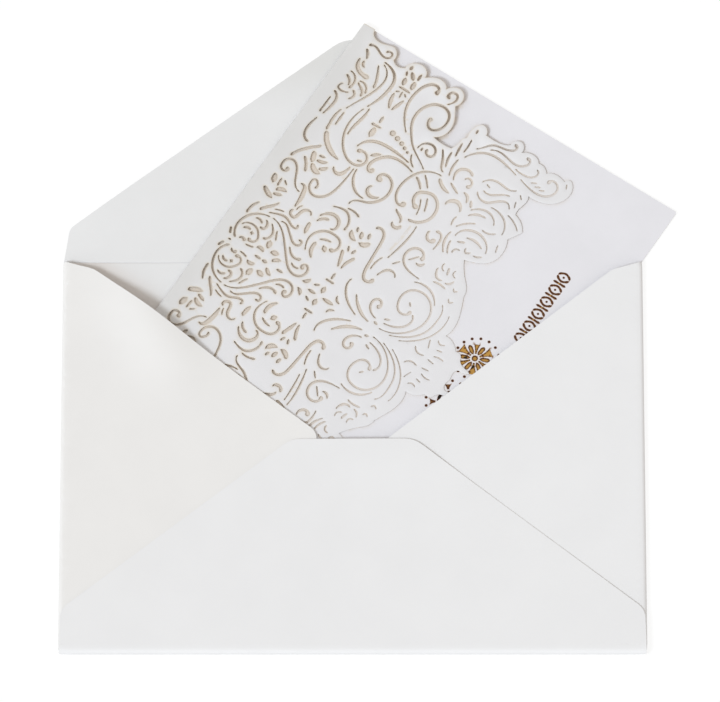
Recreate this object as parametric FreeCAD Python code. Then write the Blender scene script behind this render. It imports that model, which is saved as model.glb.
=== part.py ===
import FreeCAD, Part
import math
import os

from FreeCAD import Vector

# A laser-cut wedding invitation lying in its open envelope, flat on its back.
# All sizes in millimetres. The origin is the centre of the envelope's address panel,
# on its underside. +X runs along the envelope, +Y towards its open flap, +Z up.

# ---------------------------------------------------------------- driving dimensions
CARD_WIDTH = 123.5             # across the card, from its fold edge
CARD_LENGTH = 177.5            # along its fold edge
CARD_PAPER = 0.30
CARD_ANGLE = 33.5              # the card lies turned clockwise in the envelope
CARD_CORNER_RADIUS = 0.8
FOLD_INNER_RADIUS = 0.45
LACE_RISE_ANGLE = 0.6          # the lace leaf springs open by this much, degrees
SHEET_AIR = 0.05               # air between loose sheets that rest on each other

BACKING_PAPER = 0.12
BACKING_MARGIN = 4.0
BACKING_FAR_MARGIN = 6.5       # its far edge stops this short of the card's

ENVELOPE_PAPER = 0.18
LENGTH_CLEARANCE = 12.5        # the envelope is longer than the card by this
WIDTH_CLEARANCE = 14.5         # and wider by this
POCKET_CLEARANCE = 0.43        # above the card's fold, inside the folded sides
BOTTOM_FOLD_EXTRA = 0.5        # the bottom fold is fuller than the side folds
CARD_SIDE_CLEARANCE = 0.7      # from the card's hidden corners to the envelope's sides
CARD_BOTTOM_CLEARANCE = 5.0
CARD_SHOULDER_CLEARANCE = 2.15
LACE_CLEARANCE = 0.2           # from the lace's raised edge to the flaps over it
LEFT_FLAP_BELLY = 0.4          # how far each side flap bellies above its own tip
RIGHT_FLAP_BELLY = 0.1
BOTTOM_FLAP_GAP = 0.2          # air between the side flaps and the bottom flap over them
BOTTOM_FLAP_DIP = 0.2          # the bottom flap's free edge lies lower than its crest
BOTTOM_FLAP_CREST_RISE = 29.0  # from the bottom edge to that crest
SHOULDER = 3.0                 # relief cut at the ends of the three folds

OPEN_FLAP_LENGTH = 80.7        # from the crease to the point
OPEN_FLAP_TIP_RADIUS = 10.0
OPEN_FLAP_TIP_BLUNTING = 2.5   # the flanks would meet this far beyond the rounded point
OPEN_FLAP_SHOULDER_RISE = 12.0
OPEN_FLAP_SHOULDER_INSET = 2.0
OPEN_FLAP_SHOULDER_RADIUS = 4.0

LEFT_FLAP_TIP_X = -8.8         # the corners of the two side flaps' points
LEFT_FLAP_TIP_Y = 6.0          # above the envelope's centre line
RIGHT_FLAP_TIP_X = 7.7
RIGHT_FLAP_TIP_Y = 3.0
SIDE_FLAP_TIP_RADIUS = 5.0
SIDE_FLAP_CREST_SHARE = 0.38   # a side flap bellies most at this share of its reach
SIDE_FLAP_SHOULDER = 10.0      # a shallow shoulder where a side flap leaves its fold
SIDE_FLAP_SHOULDER_DROP = 1.5
SIDE_FLAP_SHOULDER_RADIUS = 6.0
SIDE_FLAP_FOOT = 4.0
BOTTOM_FLAP_EDGE_Y = 5.6
BOTTOM_FLAP_EDGE_HALF = 20.0
BOTTOM_FLAP_EDGE_RADIUS = 9.0
BOTTOM_FLAP_INSET = 0.6
BOTTOM_FLAP_ROOT_RISE = 15.0   # where its slanted sides meet the envelope's sides
BOTTOM_FLAP_SIDE_RADIUS = 6.0
BOTTOM_FLAP_FOOT_RADIUS = 2.0

# ---------------------------------------------------------------- derived sizes
PANEL_TOP = ENVELOPE_PAPER
BACKING_LEVEL = PANEL_TOP + SHEET_AIR
BASE_LEVEL = BACKING_LEVEL + BACKING_PAPER
FOLD_OUTER_RADIUS = FOLD_INNER_RADIUS + CARD_PAPER
FOLD_CENTRE_LEVEL = BASE_LEVEL + FOLD_OUTER_RADIUS
FOLD_TOP = BASE_LEVEL + 2.0 * FOLD_OUTER_RADIUS
DRAWN_WIDTH = 123.5            # the card size that the lace below is drawn for
DRAWN_LENGTH = 177.5
DRAWN_AXIS = DRAWN_LENGTH / 2.0  # the lace is the same on both sides of this line
DRAWN_REACH = 99.5             # the lace's widest point, from the fold edge
LACE_NARROWING = 0.975         # the lace is cut this much narrower than it is drawn,
LACE_SKEW = 0.008              # a little out of square with the fold edge,
LACE_BOW = 1.82                # bowed off it at both sides of its bow line,
LACE_BOW_LINE = 50.0
LACE_FLARE = 0.57              # flared at its top corner,
LACE_FLARE_END = 44.0
FIRST_HALF_SLIP = 0.336        # and its first half slips down by this, and turns a little
FIRST_HALF_TWIST = 0.000741
FIRST_HALF_CENTRE = (34.3, 53.5)
OTHER_HALF_SLIP = 1.66         # while the mirrored half slips down by this at the axis,
OTHER_HALF_SPREAD = 0.0146     # and by more further from the fold edge
LACE_START = 4.5               # the free edge leaves the card's two ends here
DRAWN_SCALE = min(CARD_WIDTH / DRAWN_WIDTH, CARD_LENGTH / DRAWN_LENGTH)

ENVELOPE_WIDTH = CARD_LENGTH + LENGTH_CLEARANCE
ENVELOPE_HEIGHT = CARD_WIDTH + WIDTH_CLEARANCE
HALF_WIDTH = ENVELOPE_WIDTH / 2.0
HALF_HEIGHT = ENVELOPE_HEIGHT / 2.0
SIDE_LEVEL = FOLD_TOP + POCKET_CLEARANCE                         # underside of a side flap at its fold
SIDE_FOLD_RADIUS = 0.5 * (SIDE_LEVEL + ENVELOPE_PAPER)           # outside of the side folds
BOTTOM_LEVEL = SIDE_LEVEL + BOTTOM_FOLD_EXTRA
BOTTOM_FOLD_RADIUS = 0.5 * (BOTTOM_LEVEL + ENVELOPE_PAPER)
FOLD_X = HALF_WIDTH - SIDE_FOLD_RADIUS                           # where the panel turns up
FOLD_Y = HALF_HEIGHT - BOTTOM_FOLD_RADIUS
FOLD_HALF_LENGTH = HALF_HEIGHT - SHOULDER
DRAWN_BOW = LACE_BOW * (DRAWN_REACH / LACE_BOW_LINE - 1.0) ** 2
LACE_REACH = (DRAWN_REACH * LACE_NARROWING + DRAWN_BOW) * CARD_WIDTH / DRAWN_WIDTH
LACE_TOP = FOLD_TOP + LACE_REACH * math.sin(math.radians(LACE_RISE_ANGLE))
SIDE_TIP_LEVEL = LACE_TOP + LACE_CLEARANCE                       # underside of a side flap at its tip
SIDE_TOP = SIDE_TIP_LEVEL + LEFT_FLAP_BELLY + ENVELOPE_PAPER     # highest point of the side flaps
TALL = 20.0                                                      # clears every sheet when cutting one

# The card's fold corner: its hidden corner rests near the left fold, and it slides in until
# its far edge meets the right shoulder or its low corner meets the bottom fold.
TURN = math.radians(CARD_ANGLE)
CARD_CORNER_X = -HALF_WIDTH + CARD_SIDE_CLEARANCE + CARD_LENGTH * math.sin(TURN)
PAST_SHOULDER = CARD_CORNER_X + CARD_WIDTH * math.cos(TURN) - (HALF_WIDTH - CARD_SHOULDER_CLEARANCE)
ON_SHOULDER_Y = FOLD_HALF_LENGTH + CARD_WIDTH * math.sin(TURN) + PAST_SHOULDER / math.tan(TURN)
ON_BOTTOM_Y = (-HALF_HEIGHT + CARD_BOTTOM_CLEARANCE + CARD_LENGTH * math.cos(TURN)
               + CARD_WIDTH * math.sin(TURN))
CARD_CORNER_Y = max(ON_SHOULDER_Y, ON_BOTTOM_Y)

POINTED = 0.25                 # a slot's end width as a share of its full width
BLUNT = 0.8
BALL = 1.7
BIG_BALL = 2.2
BALL_REACH = 1.1               # a ball end's length, in its own widths
TAPER_SHARE = 0.45             # a tapered end's share of the slot's length
END_LIMIT = 0.6                # neither end takes more of the slot than this
SLOT_STEP = 1.1                # spacing of a slot outline's points


# ---------------------------------------------------------------- slots of the lace
# A slot is a route of points (distance from the fold edge, distance from the top edge),
# its full width, and the share of that width at its start and at its end.

FOLD_RIBBON = [
    ([(4.4, 4.1), (6.7, 3.8), (8.6, 4.6), (10.8, 5.4), (12.4, 5.4), (13.5, 4.4), (13.2, 3.3), (12.2, 2.9),
      (11.1, 3.5)], 0.7, 1.2, BLUNT),
    ([(4.5, 6.1), (5.5, 7.2), (6.3, 9.0)], 1.0, BLUNT, POINTED),
    ([(4.3, 10.1), (4.7, 11.9), (5.7, 13.4), (7.4, 14.4), (9.2, 14.8), (10.4, 14.8)], 1.4, POINTED, 1.2),
    ([(6.2, 10.4), (6.5, 11.4), (7.6, 12.1)], 0.9, BLUNT, POINTED),
    ([(4.3, 15.7), (5.9, 16.0), (7.3, 17.1), (8.0, 18.7), (7.7, 21.0)], 0.7, POINTED, 1.2),
    ([(4.3, 17.6), (5.4, 18.2), (6.4, 19.2), (6.7, 20.6)], 0.9, BLUNT, POINTED),
    ([(4.9, 21.0), (4.2, 21.9), (4.3, 23.1), (5.5, 23.5), (7.0, 23.4), (8.5, 22.7)], 0.7, POINTED, POINTED),
    ([(9.3, 17.3), (11.0, 17.1), (12.6, 18.0), (13.6, 20.0)], 0.7, POINTED, BLUNT),
    ([(9.2, 18.0), (10.6, 18.8), (12.1, 19.8), (12.9, 21.6)], 0.9, POINTED, BLUNT),
    ([(9.6, 21.4), (10.8, 22.5), (9.9, 24.8)], 0.8, BLUNT, POINTED),
    ([(4.2, 24.9), (5.6, 25.8), (6.4, 27.3), (6.5, 29.4), (6.2, 31.6), (5.6, 34.0)], 0.9, BLUNT, POINTED),
    ([(4.1, 27.4), (4.2, 30.6), (4.2, 33.8)], 0.7, POINTED, BLUNT),
    ([(4.8, 36.4), (4.3, 39.0), (4.2, 41.6), (4.8, 43.8), (5.9, 45.0), (7.3, 45.4)], 0.9, POINTED, BLUNT),
    ([(11.5, 9.1), (12.7, 11.1), (13.9, 13.4), (14.9, 16.7)], 0.9, POINTED, BLUNT),
    ([(12.7, 7.1), (16.2, 8.0), (18.6, 9.6), (19.8, 11.8), (20.0, 14.4), (19.4, 18.6), (17.3, 23.8)],
     1.1, POINTED, POINTED),
    ([(13.0, 8.0), (15.4, 9.6), (16.6, 11.8), (16.8, 14.0), (15.9, 18.2), (13.9, 22.9), (11.4, 28.2)],
     0.7, POINTED, POINTED),
    ([(11.7, 29.8), (11.8, 32.4), (11.8, 35.2)], 0.8, POINTED, POINTED),
    ([(10.2, 29.4), (9.7, 32.2), (9.8, 35.0), (10.2, 38.0)], 0.9, POINTED, BLUNT),
    ([(18.4, 24.2), (18.5, 27.8), (17.8, 32.0), (17.6, 36.0)], 1.0, POINTED, POINTED),
    ([(11.2, 39.4), (12.4, 41.3), (14.3, 43.0), (16.9, 44.5), (20.2, 45.4)], 1.8, BLUNT, POINTED),
]

LONG_SCROLLS = [
    ([(16.8, 25.2), (15.6, 30.0), (16.0, 34.8), (18.0, 39.3), (21.2, 42.6), (25.0, 44.1), (28.0, 43.3),
      (29.0, 41.0), (27.6, 38.9), (24.6, 39.0)], 0.8, POINTED, BALL),
    ([(26.4, 42.2), (27.5, 41.8)], 0.7, BLUNT, BLUNT),
    ([(34.9, 7.6), (34.6, 6.1), (32.9, 5.6), (30.7, 6.8), (29.0, 9.6), (28.4, 13.4), (29.1, 17.6),
      (31.0, 21.3), (34.2, 25.0)], 0.9, BALL, POINTED),
    ([(38.6, 16.8), (38.9, 18.8), (40.8, 20.0), (43.0, 18.9), (44.2, 15.6), (43.0, 12.3), (40.4, 10.9),
      (37.0, 11.2), (34.4, 13.6), (33.3, 17.2), (34.0, 21.2), (36.2, 24.7), (39.2, 28.1), (43.0, 30.6),
      (47.0, 33.2)], 0.9, 1.5, POINTED),
    ([(39.1, 7.0), (38.9, 5.9), (39.8, 4.9), (41.2, 5.0), (42.1, 6.4), (41.7, 8.2), (40.3, 9.5)],
     0.8, BALL, POINTED),
    ([(23.1, 37.9), (23.9, 35.9), (25.8, 34.0), (28.8, 32.9), (33.4, 32.7), (37.6, 33.1),
      (41.3, 33.8)], 1.1, POINTED, POINTED),
    ([(32.7, 42.6), (31.6, 43.3), (30.7, 42.0), (30.8, 40.0), (32.2, 37.6), (34.4, 35.6), (37.2, 34.8),
      (40.6, 35.0), (44.4, 36.0)], 1.0, 1.4, POINTED),
    ([(29.0, 38.4), (30.4, 37.2), (31.8, 36.3)], 1.1, POINTED, POINTED),
    ([(40.6, 30.7), (41.3, 32.3), (43.7, 34.4)], 0.6, POINTED, POINTED),
    ([(36.5, 44.0), (36.1, 42.5), (37.4, 41.6), (39.6, 41.9), (41.5, 43.6), (42.3, 46.2), (42.0, 48.8),
      (40.4, 51.4), (37.8, 53.3), (34.8, 54.4), (33.4, 55.6), (33.1, 56.9)], 0.9, BIG_BALL, POINTED),
    ([(28.0, 45.0), (28.6, 47.8), (30.3, 50.4), (32.8, 52.2), (36.0, 52.7)], 0.9, POINTED, POINTED),
    ([(35.9, 47.4), (35.3, 49.0), (36.4, 50.5), (38.4, 50.7), (40.2, 49.6)], 1.2, POINTED, POINTED),
    ([(20.8, 48.5), (21.9, 49.7), (23.4, 49.9), (24.8, 48.6), (25.5, 45.6)], 1.2, POINTED, POINTED),
    ([(27.0, 45.4), (26.9, 49.8), (26.4, 54.6), (25.2, 58.2), (23.0, 60.3), (20.4, 60.8), (18.4, 59.6),
      (17.5, 57.4), (18.1, 55.6), (19.4, 56.1), (20.0, 58.2)], 0.8, POINTED, BLUNT),
]

GRADED_DOTS = [((30.6, 27.6), 1.0), ((33.1, 28.4), 0.9), ((35.4, 29.2), 0.8), ((37.2, 30.1), 0.65),
               ((38.9, 30.9), 0.5)]

FLOWER_PENDANT = [
    ([(22.2, 4.0), (22.0, 4.9)], 1.1, BLUNT, BLUNT),
    ([(21.5, 6.2), (22.1, 7.4)], 0.8, POINTED, BLUNT),
    ([(23.6, 6.0), (24.9, 7.4)], 1.5, BLUNT, BLUNT),
    ([(26.6, 4.8), (26.6, 6.9)], 1.1, POINTED, BLUNT),
    ([(22.7, 8.9), (22.9, 10.4)], 1.6, BLUNT, BLUNT),
    ([(26.3, 8.7), (26.4, 10.4)], 1.7, BLUNT, BLUNT),
    ([(22.3, 12.1), (24.5, 12.0), (26.8, 12.2)], 0.9, POINTED, POINTED),
    ([(22.5, 14.0), (23.3, 13.5)], 0.6, BLUNT, BLUNT),
    ([(25.7, 13.5), (26.4, 14.1)], 0.6, BLUNT, BLUNT),
    ([(24.5, 13.3), (24.7, 15.5)], 0.6, BLUNT, POINTED),
    ([(22.3, 15.0), (22.8, 17.6), (24.0, 20.5)], 1.3, POINTED, POINTED),
    ([(26.7, 15.7), (26.1, 17.8), (25.1, 20.5)], 1.1, POINTED, POINTED),
    ([(24.3, 24.2), (24.4, 26.4)], 0.9, POINTED, BLUNT),
    ([(22.8, 28.2), (24.2, 28.2), (26.0, 28.1)], 0.8, 1.2, POINTED),
    ([(24.4, 29.8), (24.4, 31.0), (24.4, 32.7)], 1.9, BLUNT, POINTED),
]

ROSES = [
    ([(12.2, 44.6), (9.4, 47.1), (7.2, 49.6), (5.6, 52.6)], 1.0, BLUNT, BLUNT),
    ([(12.0, 47.9), (12.6, 49.2), (13.0, 50.4)], 1.8, BLUNT, BLUNT),
    ([(14.4, 47.6), (16.2, 47.3)], 0.9, BLUNT, POINTED),
    ([(14.8, 49.5), (16.4, 49.2), (17.9, 48.4)], 1.1, BLUNT, POINTED),
    ([(17.2, 51.7), (18.2, 51.1), (19.2, 49.9)], 1.2, BLUNT, POINTED),
    ([(14.3, 51.9), (15.5, 52.9), (18.0, 53.2)], 1.9, BLUNT, POINTED),
    ([(10.2, 50.8), (11.6, 52.2), (12.6, 53.6), (13.2, 54.8)], 1.0, BLUNT, BLUNT),
    ([(7.7, 57.7), (7.0, 58.8), (5.6, 58.6), (4.9, 57.0), (5.3, 55.0), (7.0, 53.9), (9.2, 54.6),
      (11.0, 56.8),
      (12.6, 59.9), (14.3, 61.8), (16.2, 62.4)], 0.8, BALL, POINTED),
    ([(15.0, 59.6), (16.5, 59.8), (17.5, 61.6), (18.1, 64.4), (18.1, 67.6)], 1.5, POINTED, POINTED),
    ([(18.2, 69.2), (18.8, 71.0), (20.1, 71.1), (21.0, 68.8), (22.0, 66.8), (23.3, 66.3),
      (24.7, 67.4)], 1.0, BLUNT, POINTED),
    ([(20.2, 66.0), (19.5, 67.2), (19.3, 68.4)], 0.5, POINTED, POINTED),
    ([(5.5, 62.0), (5.9, 63.2), (6.3, 64.5)], 1.9, BLUNT, POINTED),
    ([(8.1, 61.6), (8.4, 64.4)], 0.8, POINTED, BLUNT),
    ([(9.6, 61.8), (11.0, 62.8)], 0.6, BLUNT, POINTED),
    ([(9.2, 65.8), (10.4, 65.0), (12.4, 64.9)], 1.4, BLUNT, POINTED),
    ([(5.3, 67.6), (7.0, 68.6), (9.4, 69.4)], 1.7, BLUNT, POINTED),
    ([(9.3, 67.7), (10.4, 67.3), (11.8, 66.8)], 1.1, BLUNT, POINTED),
    ([(5.3, 78.3), (5.5, 75.8), (6.8, 73.1)], 0.9, BLUNT, POINTED),
    ([(8.7, 74.9), (10.2, 73.0), (11.7, 71.4), (12.8, 69.6)], 1.0, BLUNT, POINTED),
    ([(12.9, 72.3), (14.3, 71.7), (16.2, 71.3)], 0.5, POINTED, POINTED),
    ([(12.0, 74.3), (13.9, 73.5), (15.6, 72.9), (17.4, 72.6), (19.6, 73.2), (21.8, 74.1), (23.3, 73.9),
      (23.2, 72.9)], 0.8, POINTED, BLUNT),
    ([(26.1, 70.2), (26.3, 71.8), (26.7, 73.8)], 1.4, BLUNT, POINTED),
]

HEART = [
    ([(13.1, 75.5), (10.2, 76.2), (7.5, 78.0), (5.8, 80.7), (5.2, 83.6), (5.8, 86.2), (7.2, 88.0)],
     0.8, POINTED, BLUNT),
    ([(14.4, 75.3), (17.4, 76.0), (20.4, 77.9), (23.6, 81.1), (27.1, 85.0), (29.7, 87.3), (32.3, 88.1),
      (34.6, 87.3), (35.6, 85.3), (34.9, 83.4), (33.6, 83.0), (33.4, 84.5)], 0.8, POINTED, BALL),
    ([(17.5, 74.7), (19.4, 74.6), (21.6, 76.0), (23.6, 77.6), (25.8, 78.9), (27.6, 78.6), (28.0, 77.4),
      (26.8, 76.9)], 0.8, POINTED, BLUNT),
    ([(25.4, 80.7), (26.8, 82.1), (28.6, 83.0), (30.9, 82.5)], 0.8, POINTED, 1.2),
    ([(29.3, 85.0), (30.7, 85.7), (32.2, 85.5)], 0.7, POINTED, BLUNT),
    ([(6.6, 83.0), (7.9, 81.5), (10.2, 81.0), (12.4, 81.7), (13.9, 83.3), (14.5, 85.0), (13.6, 86.2),
      (12.0, 86.2)], 0.7, POINTED, BALL),
    ([(7.8, 83.8), (8.7, 83.0), (10.0, 82.9)], 0.9, POINTED, BLUNT),
    ([(11.4, 83.5), (11.5, 83.9)], 1.3, BLUNT, BLUNT),
    ([(9.3, 78.5), (10.6, 78.1), (12.1, 78.8)], 0.8, POINTED, BLUNT),
    ([(12.8, 77.2), (14.1, 78.3), (14.3, 79.6), (12.8, 80.4)], 0.9, POINTED, BLUNT),
    ([(15.3, 77.2), (16.7, 78.5), (17.7, 80.2), (17.5, 81.8), (16.0, 83.1)], 0.8, POINTED, BLUNT),
    ([(18.4, 78.4), (19.1, 79.8), (20.0, 81.5)], 0.7, POINTED, POINTED),
    ([(18.6, 82.6), (18.9, 83.6), (19.1, 84.6)], 1.9, POINTED, BLUNT),
    ([(21.7, 85.6), (23.2, 85.2)], 1.8, BLUNT, BLUNT),
    ([(16.0, 87.0), (17.3, 86.5), (18.4, 86.9)], 1.3, POINTED, BLUNT),
    ([(23.6, 87.9), (24.4, 87.2), (25.8, 86.6)], 1.3, BLUNT, POINTED),
    ([(10.6, 87.1), (9.5, 86.9), (8.8, 87.6)], 0.8, 1.5, POINTED),
    ([(12.0, 88.2), (13.4, 88.1), (14.8, 87.7)], 0.6, POINTED, BLUNT),
    ([(4.2, 86.2), (5.0, 87.8)], 0.9, BLUNT, BLUNT),
]

FAN_SCROLL = [
    ([(33.8, 58.5), (36.2, 58.3), (38.6, 59.0)], 0.7, POINTED, BLUNT),
    ([(29.2, 60.5), (31.8, 59.7), (34.2, 59.7), (36.2, 61.1), (37.3, 63.2), (37.3, 65.4)],
     0.8, POINTED, BLUNT),
    ([(27.4, 65.7), (28.8, 64.0), (31.0, 63.0), (33.2, 63.4), (34.6, 65.2), (34.5, 67.0),
      (33.2, 67.8)], 1.2, POINTED, POINTED),
    ([(27.6, 67.9), (28.6, 66.4), (30.6, 65.4)], 0.9, POINTED, BLUNT),
    ([(30.4, 78.6), (29.3, 76.4), (29.0, 73.6), (30.3, 70.9), (32.6, 69.2), (35.6, 68.8), (38.2, 69.5),
      (39.4, 71.4), (39.1, 73.2), (37.8, 74.0)], 0.8, POINTED, BALL),
    ([(32.4, 72.8), (33.9, 72.0), (36.2, 71.6)], 0.8, POINTED, POINTED),
    ([(35.3, 74.4), (36.0, 75.2)], 1.7, BLUNT, BLUNT),
    ([(31.9, 74.9), (31.9, 76.8), (33.7, 79.8)], 1.3, BLUNT, POINTED),
]

TULIP_PENDANT = [
    ([(39.6, 64.3), (40.8, 66.1), (42.6, 66.7)], 1.7, POINTED, POINTED),
    ([(44.2, 66.7), (45.6, 66.6), (47.1, 65.4)], 1.7, POINTED, BLUNT),
    ([(43.1, 63.4), (43.6, 64.8)], 1.4, BLUNT, BLUNT),
    ([(40.9, 62.5), (41.4, 63.8)], 0.9, BLUNT, POINTED),
    ([(45.5, 62.0), (45.9, 63.6)], 1.1, POINTED, BLUNT),
    ([(42.2, 69.7), (42.9, 71.2)], 0.8, BLUNT, POINTED),
    ([(44.8, 69.8), (44.3, 71.2)], 0.9, BLUNT, POINTED),
    ([(41.3, 72.1), (42.2, 74.4), (43.1, 77.4)], 1.2, BLUNT, POINTED),
    ([(46.0, 72.4), (45.0, 74.6), (44.4, 77.4)], 1.1, BLUNT, POINTED),
    ([(43.9, 80.0), (43.9, 82.1)], 0.8, POINTED, BLUNT),
    ([(42.7, 83.3), (45.3, 83.3)], 0.8, BLUNT, BLUNT),
    ([(44.0, 85.9), (44.0, 87.0), (44.0, 88.2)], 1.6, POINTED, POINTED),
    ([(38.2, 86.3), (37.7, 87.4), (36.3, 88.2)], 1.3, POINTED, POINTED),
    ([(40.3, 87.2), (41.7, 86.4)], 0.8, POINTED, BLUNT),
    ([(49.2, 86.2), (49.7, 87.4), (51.2, 88.1)], 0.8, POINTED, POINTED),
]

ACANTHUS = [
    ([(40.9, 27.8), (41.5, 25.9), (43.2, 24.7), (45.4, 24.7), (47.0, 26.2), (46.8, 27.8), (45.2, 28.3),
      (44.1, 26.9)], 0.8, POINTED, 1.2),
    ([(42.4, 27.1), (42.4, 27.8)], 0.8, BLUNT, BLUNT),
    ([(48.4, 24.0), (49.8, 25.9), (51.0, 28.0), (51.9, 29.8), (53.0, 30.5)], 0.9, POINTED, POINTED),
    ([(51.6, 23.3), (51.8, 25.6), (52.7, 28.5)], 0.9, POINTED, POINTED),
    ([(52.7, 18.8), (53.0, 21.2), (53.3, 23.8)], 0.8, POINTED, POINTED),
    ([(54.5, 12.3), (54.5, 13.5)], 0.7, BLUNT, POINTED),
    ([(54.6, 16.1), (54.9, 18.4), (54.8, 21.1)], 0.6, POINTED, POINTED),
    ([(54.8, 24.2), (54.7, 27.2), (55.4, 30.5)], 0.8, POINTED, POINTED),
    ([(56.1, 22.4), (57.8, 19.8), (61.0, 17.5), (65.0, 16.9), (69.5, 17.6),
      (73.7, 18.8)], 0.8, POINTED, POINTED),
    ([(57.6, 17.8), (59.6, 15.9), (61.8, 13.9), (65.0, 13.2), (67.6, 12.4), (68.8, 11.2), (68.0, 10.1)],
     0.7, POINTED, BALL),
    ([(61.8, 15.8), (64.0, 14.9), (67.5, 15.1), (71.4, 15.8), (74.2, 14.7), (75.1, 12.8), (73.9, 12.0)],
     0.7, POINTED, BALL),
    ([(72.4, 17.1), (76.0, 17.5), (79.0, 16.3), (79.5, 14.7), (78.6, 13.8)], 0.6, POINTED, BLUNT),
    ([(75.8, 19.3), (79.5, 20.5), (84.0, 20.8), (87.0, 19.2), (87.8, 16.8), (86.8, 14.9), (84.8, 14.4),
      (84.0, 15.5)], 0.7, POINTED, BALL),
    ([(79.2, 18.6), (80.8, 17.8)], 0.5, POINTED, BLUNT),
    ([(81.0, 19.2), (82.6, 18.4)], 0.5, POINTED, BLUNT),
    ([(82.9, 19.5), (84.3, 18.8)], 0.5, POINTED, BLUNT),
    ([(89.3, 13.2), (89.9, 14.6)], 0.5, BLUNT, POINTED),
    ([(57.5, 31.0), (56.8, 29.0), (57.2, 26.9), (59.4, 25.6), (61.8, 26.4)], 0.9, POINTED, BLUNT),
    ([(60.6, 28.9), (62.3, 28.0), (63.5, 29.2), (62.9, 30.6)], 0.7, POINTED, BALL),
    ([(66.0, 26.6), (67.3, 24.9), (70.0, 24.0), (73.5, 24.4), (77.0, 23.4)], 0.7, POINTED, POINTED),
    ([(67.8, 26.6), (69.0, 27.0)], 0.5, BLUNT, BLUNT),
    ([(68.0, 29.0), (70.6, 29.1), (73.5, 27.3), (76.2, 26.2)], 0.7, POINTED, POINTED),
    ([(66.6, 30.4), (68.8, 32.1), (71.0, 32.1), (74.0, 29.8), (76.6, 28.6),
      (78.6, 30.2)], 0.8, POINTED, POINTED),
    ([(79.0, 24.2), (79.9, 25.2)], 0.5, BLUNT, BLUNT),
    ([(79.0, 26.8), (79.8, 29.0)], 0.5, POINTED, POINTED),
    ([(79.4, 32.2), (82.4, 33.2), (85.0, 35.2)], 0.6, POINTED, POINTED),
    ([(73.4, 32.7), (77.0, 33.0), (79.8, 34.6), (81.3, 37.0), (81.6, 39.0)], 0.7, POINTED, POINTED),
    ([(68.4, 37.0), (70.6, 35.2), (73.8, 34.6), (76.4, 35.8), (77.6, 37.6)], 0.7, POINTED, POINTED),
    ([(68.8, 39.0), (70.9, 37.3), (74.0, 36.8)], 0.8, POINTED, POINTED),
    ([(75.4, 40.9), (77.8, 40.9), (79.8, 39.7)], 0.6, POINTED, POINTED),
    ([(63.0, 33.0), (64.6, 33.5), (65.6, 35.6)], 1.0, POINTED, POINTED),
    ([(66.6, 34.2), (67.7, 36.0)], 0.9, POINTED, BLUNT),
    ([(60.2, 39.6), (61.1, 37.7), (63.2, 37.0), (65.0, 38.0), (65.6, 39.4)], 1.3, POINTED, POINTED),
    ([(65.8, 41.4), (65.6, 43.0), (66.0, 44.8)], 0.6, POINTED, POINTED),
]

RING_SCROLL = [
    ([(46.9, 36.8), (48.7, 38.0), (50.2, 39.7)], 0.9, BLUNT, POINTED),
    ([(48.6, 34.6), (50.5, 36.3), (52.0, 38.1)], 0.7, POINTED, POINTED),
    ([(53.4, 32.0), (50.2, 32.4), (47.2, 34.2), (45.0, 37.5), (44.0, 41.4), (44.2, 44.6), (45.5, 47.0),
      (47.3, 48.1), (48.6, 47.2)], 0.8, POINTED, BIG_BALL),
    ([(53.8, 33.4), (55.2, 34.6), (56.9, 35.4), (58.8, 35.8)], 1.2, BLUNT, POINTED),
    ([(57.4, 32.4), (59.4, 33.4), (61.4, 34.4)], 0.8, POINTED, POINTED),
    ([(52.4, 45.8), (51.1, 45.0), (50.2, 43.2), (50.4, 41.2), (52.2, 39.8), (55.0, 39.2), (57.6, 40.6),
      (59.1, 43.4), (59.0, 46.6), (57.3, 49.2), (53.4, 50.8)], 1.0, BALL, BLUNT),
    ([(52.4, 42.6), (53.6, 44.9), (54.3, 48.0)], 0.5, POINTED, POINTED),
    ([(54.1, 41.2), (55.1, 43.2), (55.9, 45.6)], 0.7, POINTED, POINTED),
    ([(47.6, 49.9), (49.2, 50.9), (50.5, 51.6), (51.3, 53.3)], 1.0, POINTED, POINTED),
    ([(49.2, 54.4), (50.4, 55.6), (51.6, 55.4), (52.3, 54.4)], 1.1, POINTED, BLUNT),
    ([(55.1, 52.4), (55.1, 55.4), (54.8, 59.2), (54.3, 63.0)], 0.6, POINTED, POINTED),
    ([(56.8, 51.4), (57.0, 54.5), (56.6, 59.3), (55.2, 65.8)], 0.7, POINTED, POINTED),
    ([(46.2, 59.0), (47.8, 58.5), (49.4, 59.6), (50.3, 62.2), (50.8, 66.8), (51.2, 71.4), (51.8, 74.6),
      (53.3, 76.5), (54.8, 76.3), (55.6, 75.1)], 1.0, BLUNT, 1.2),
    ([(53.7, 66.7), (52.9, 69.1), (52.7, 72.2)], 0.6, POINTED, POINTED),
    ([(59.4, 64.7), (57.7, 66.7)], 0.6, POINTED, POINTED),
    ([(55.8, 72.8), (56.6, 70.7), (58.2, 69.1), (59.8, 69.0), (61.1, 70.3)], 0.8, POINTED, POINTED),
    ([(61.4, 50.4), (61.5, 52.2), (62.9, 53.4), (64.3, 52.6)], 0.9, POINTED, BALL),
    ([(63.6, 49.2), (65.2, 49.5), (66.1, 51.4), (65.9, 55.2)], 0.7, 1.3, POINTED),
    ([(49.6, 78.5), (49.3, 80.4), (50.4, 83.1), (52.4, 85.3), (55.2, 87.1), (57.8, 88.2)],
     0.8, POINTED, POINTED),
    ([(54.1, 82.2), (56.1, 84.5), (58.7, 86.4), (62.6, 87.7)], 1.1, POINTED, POINTED),
]

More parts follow.
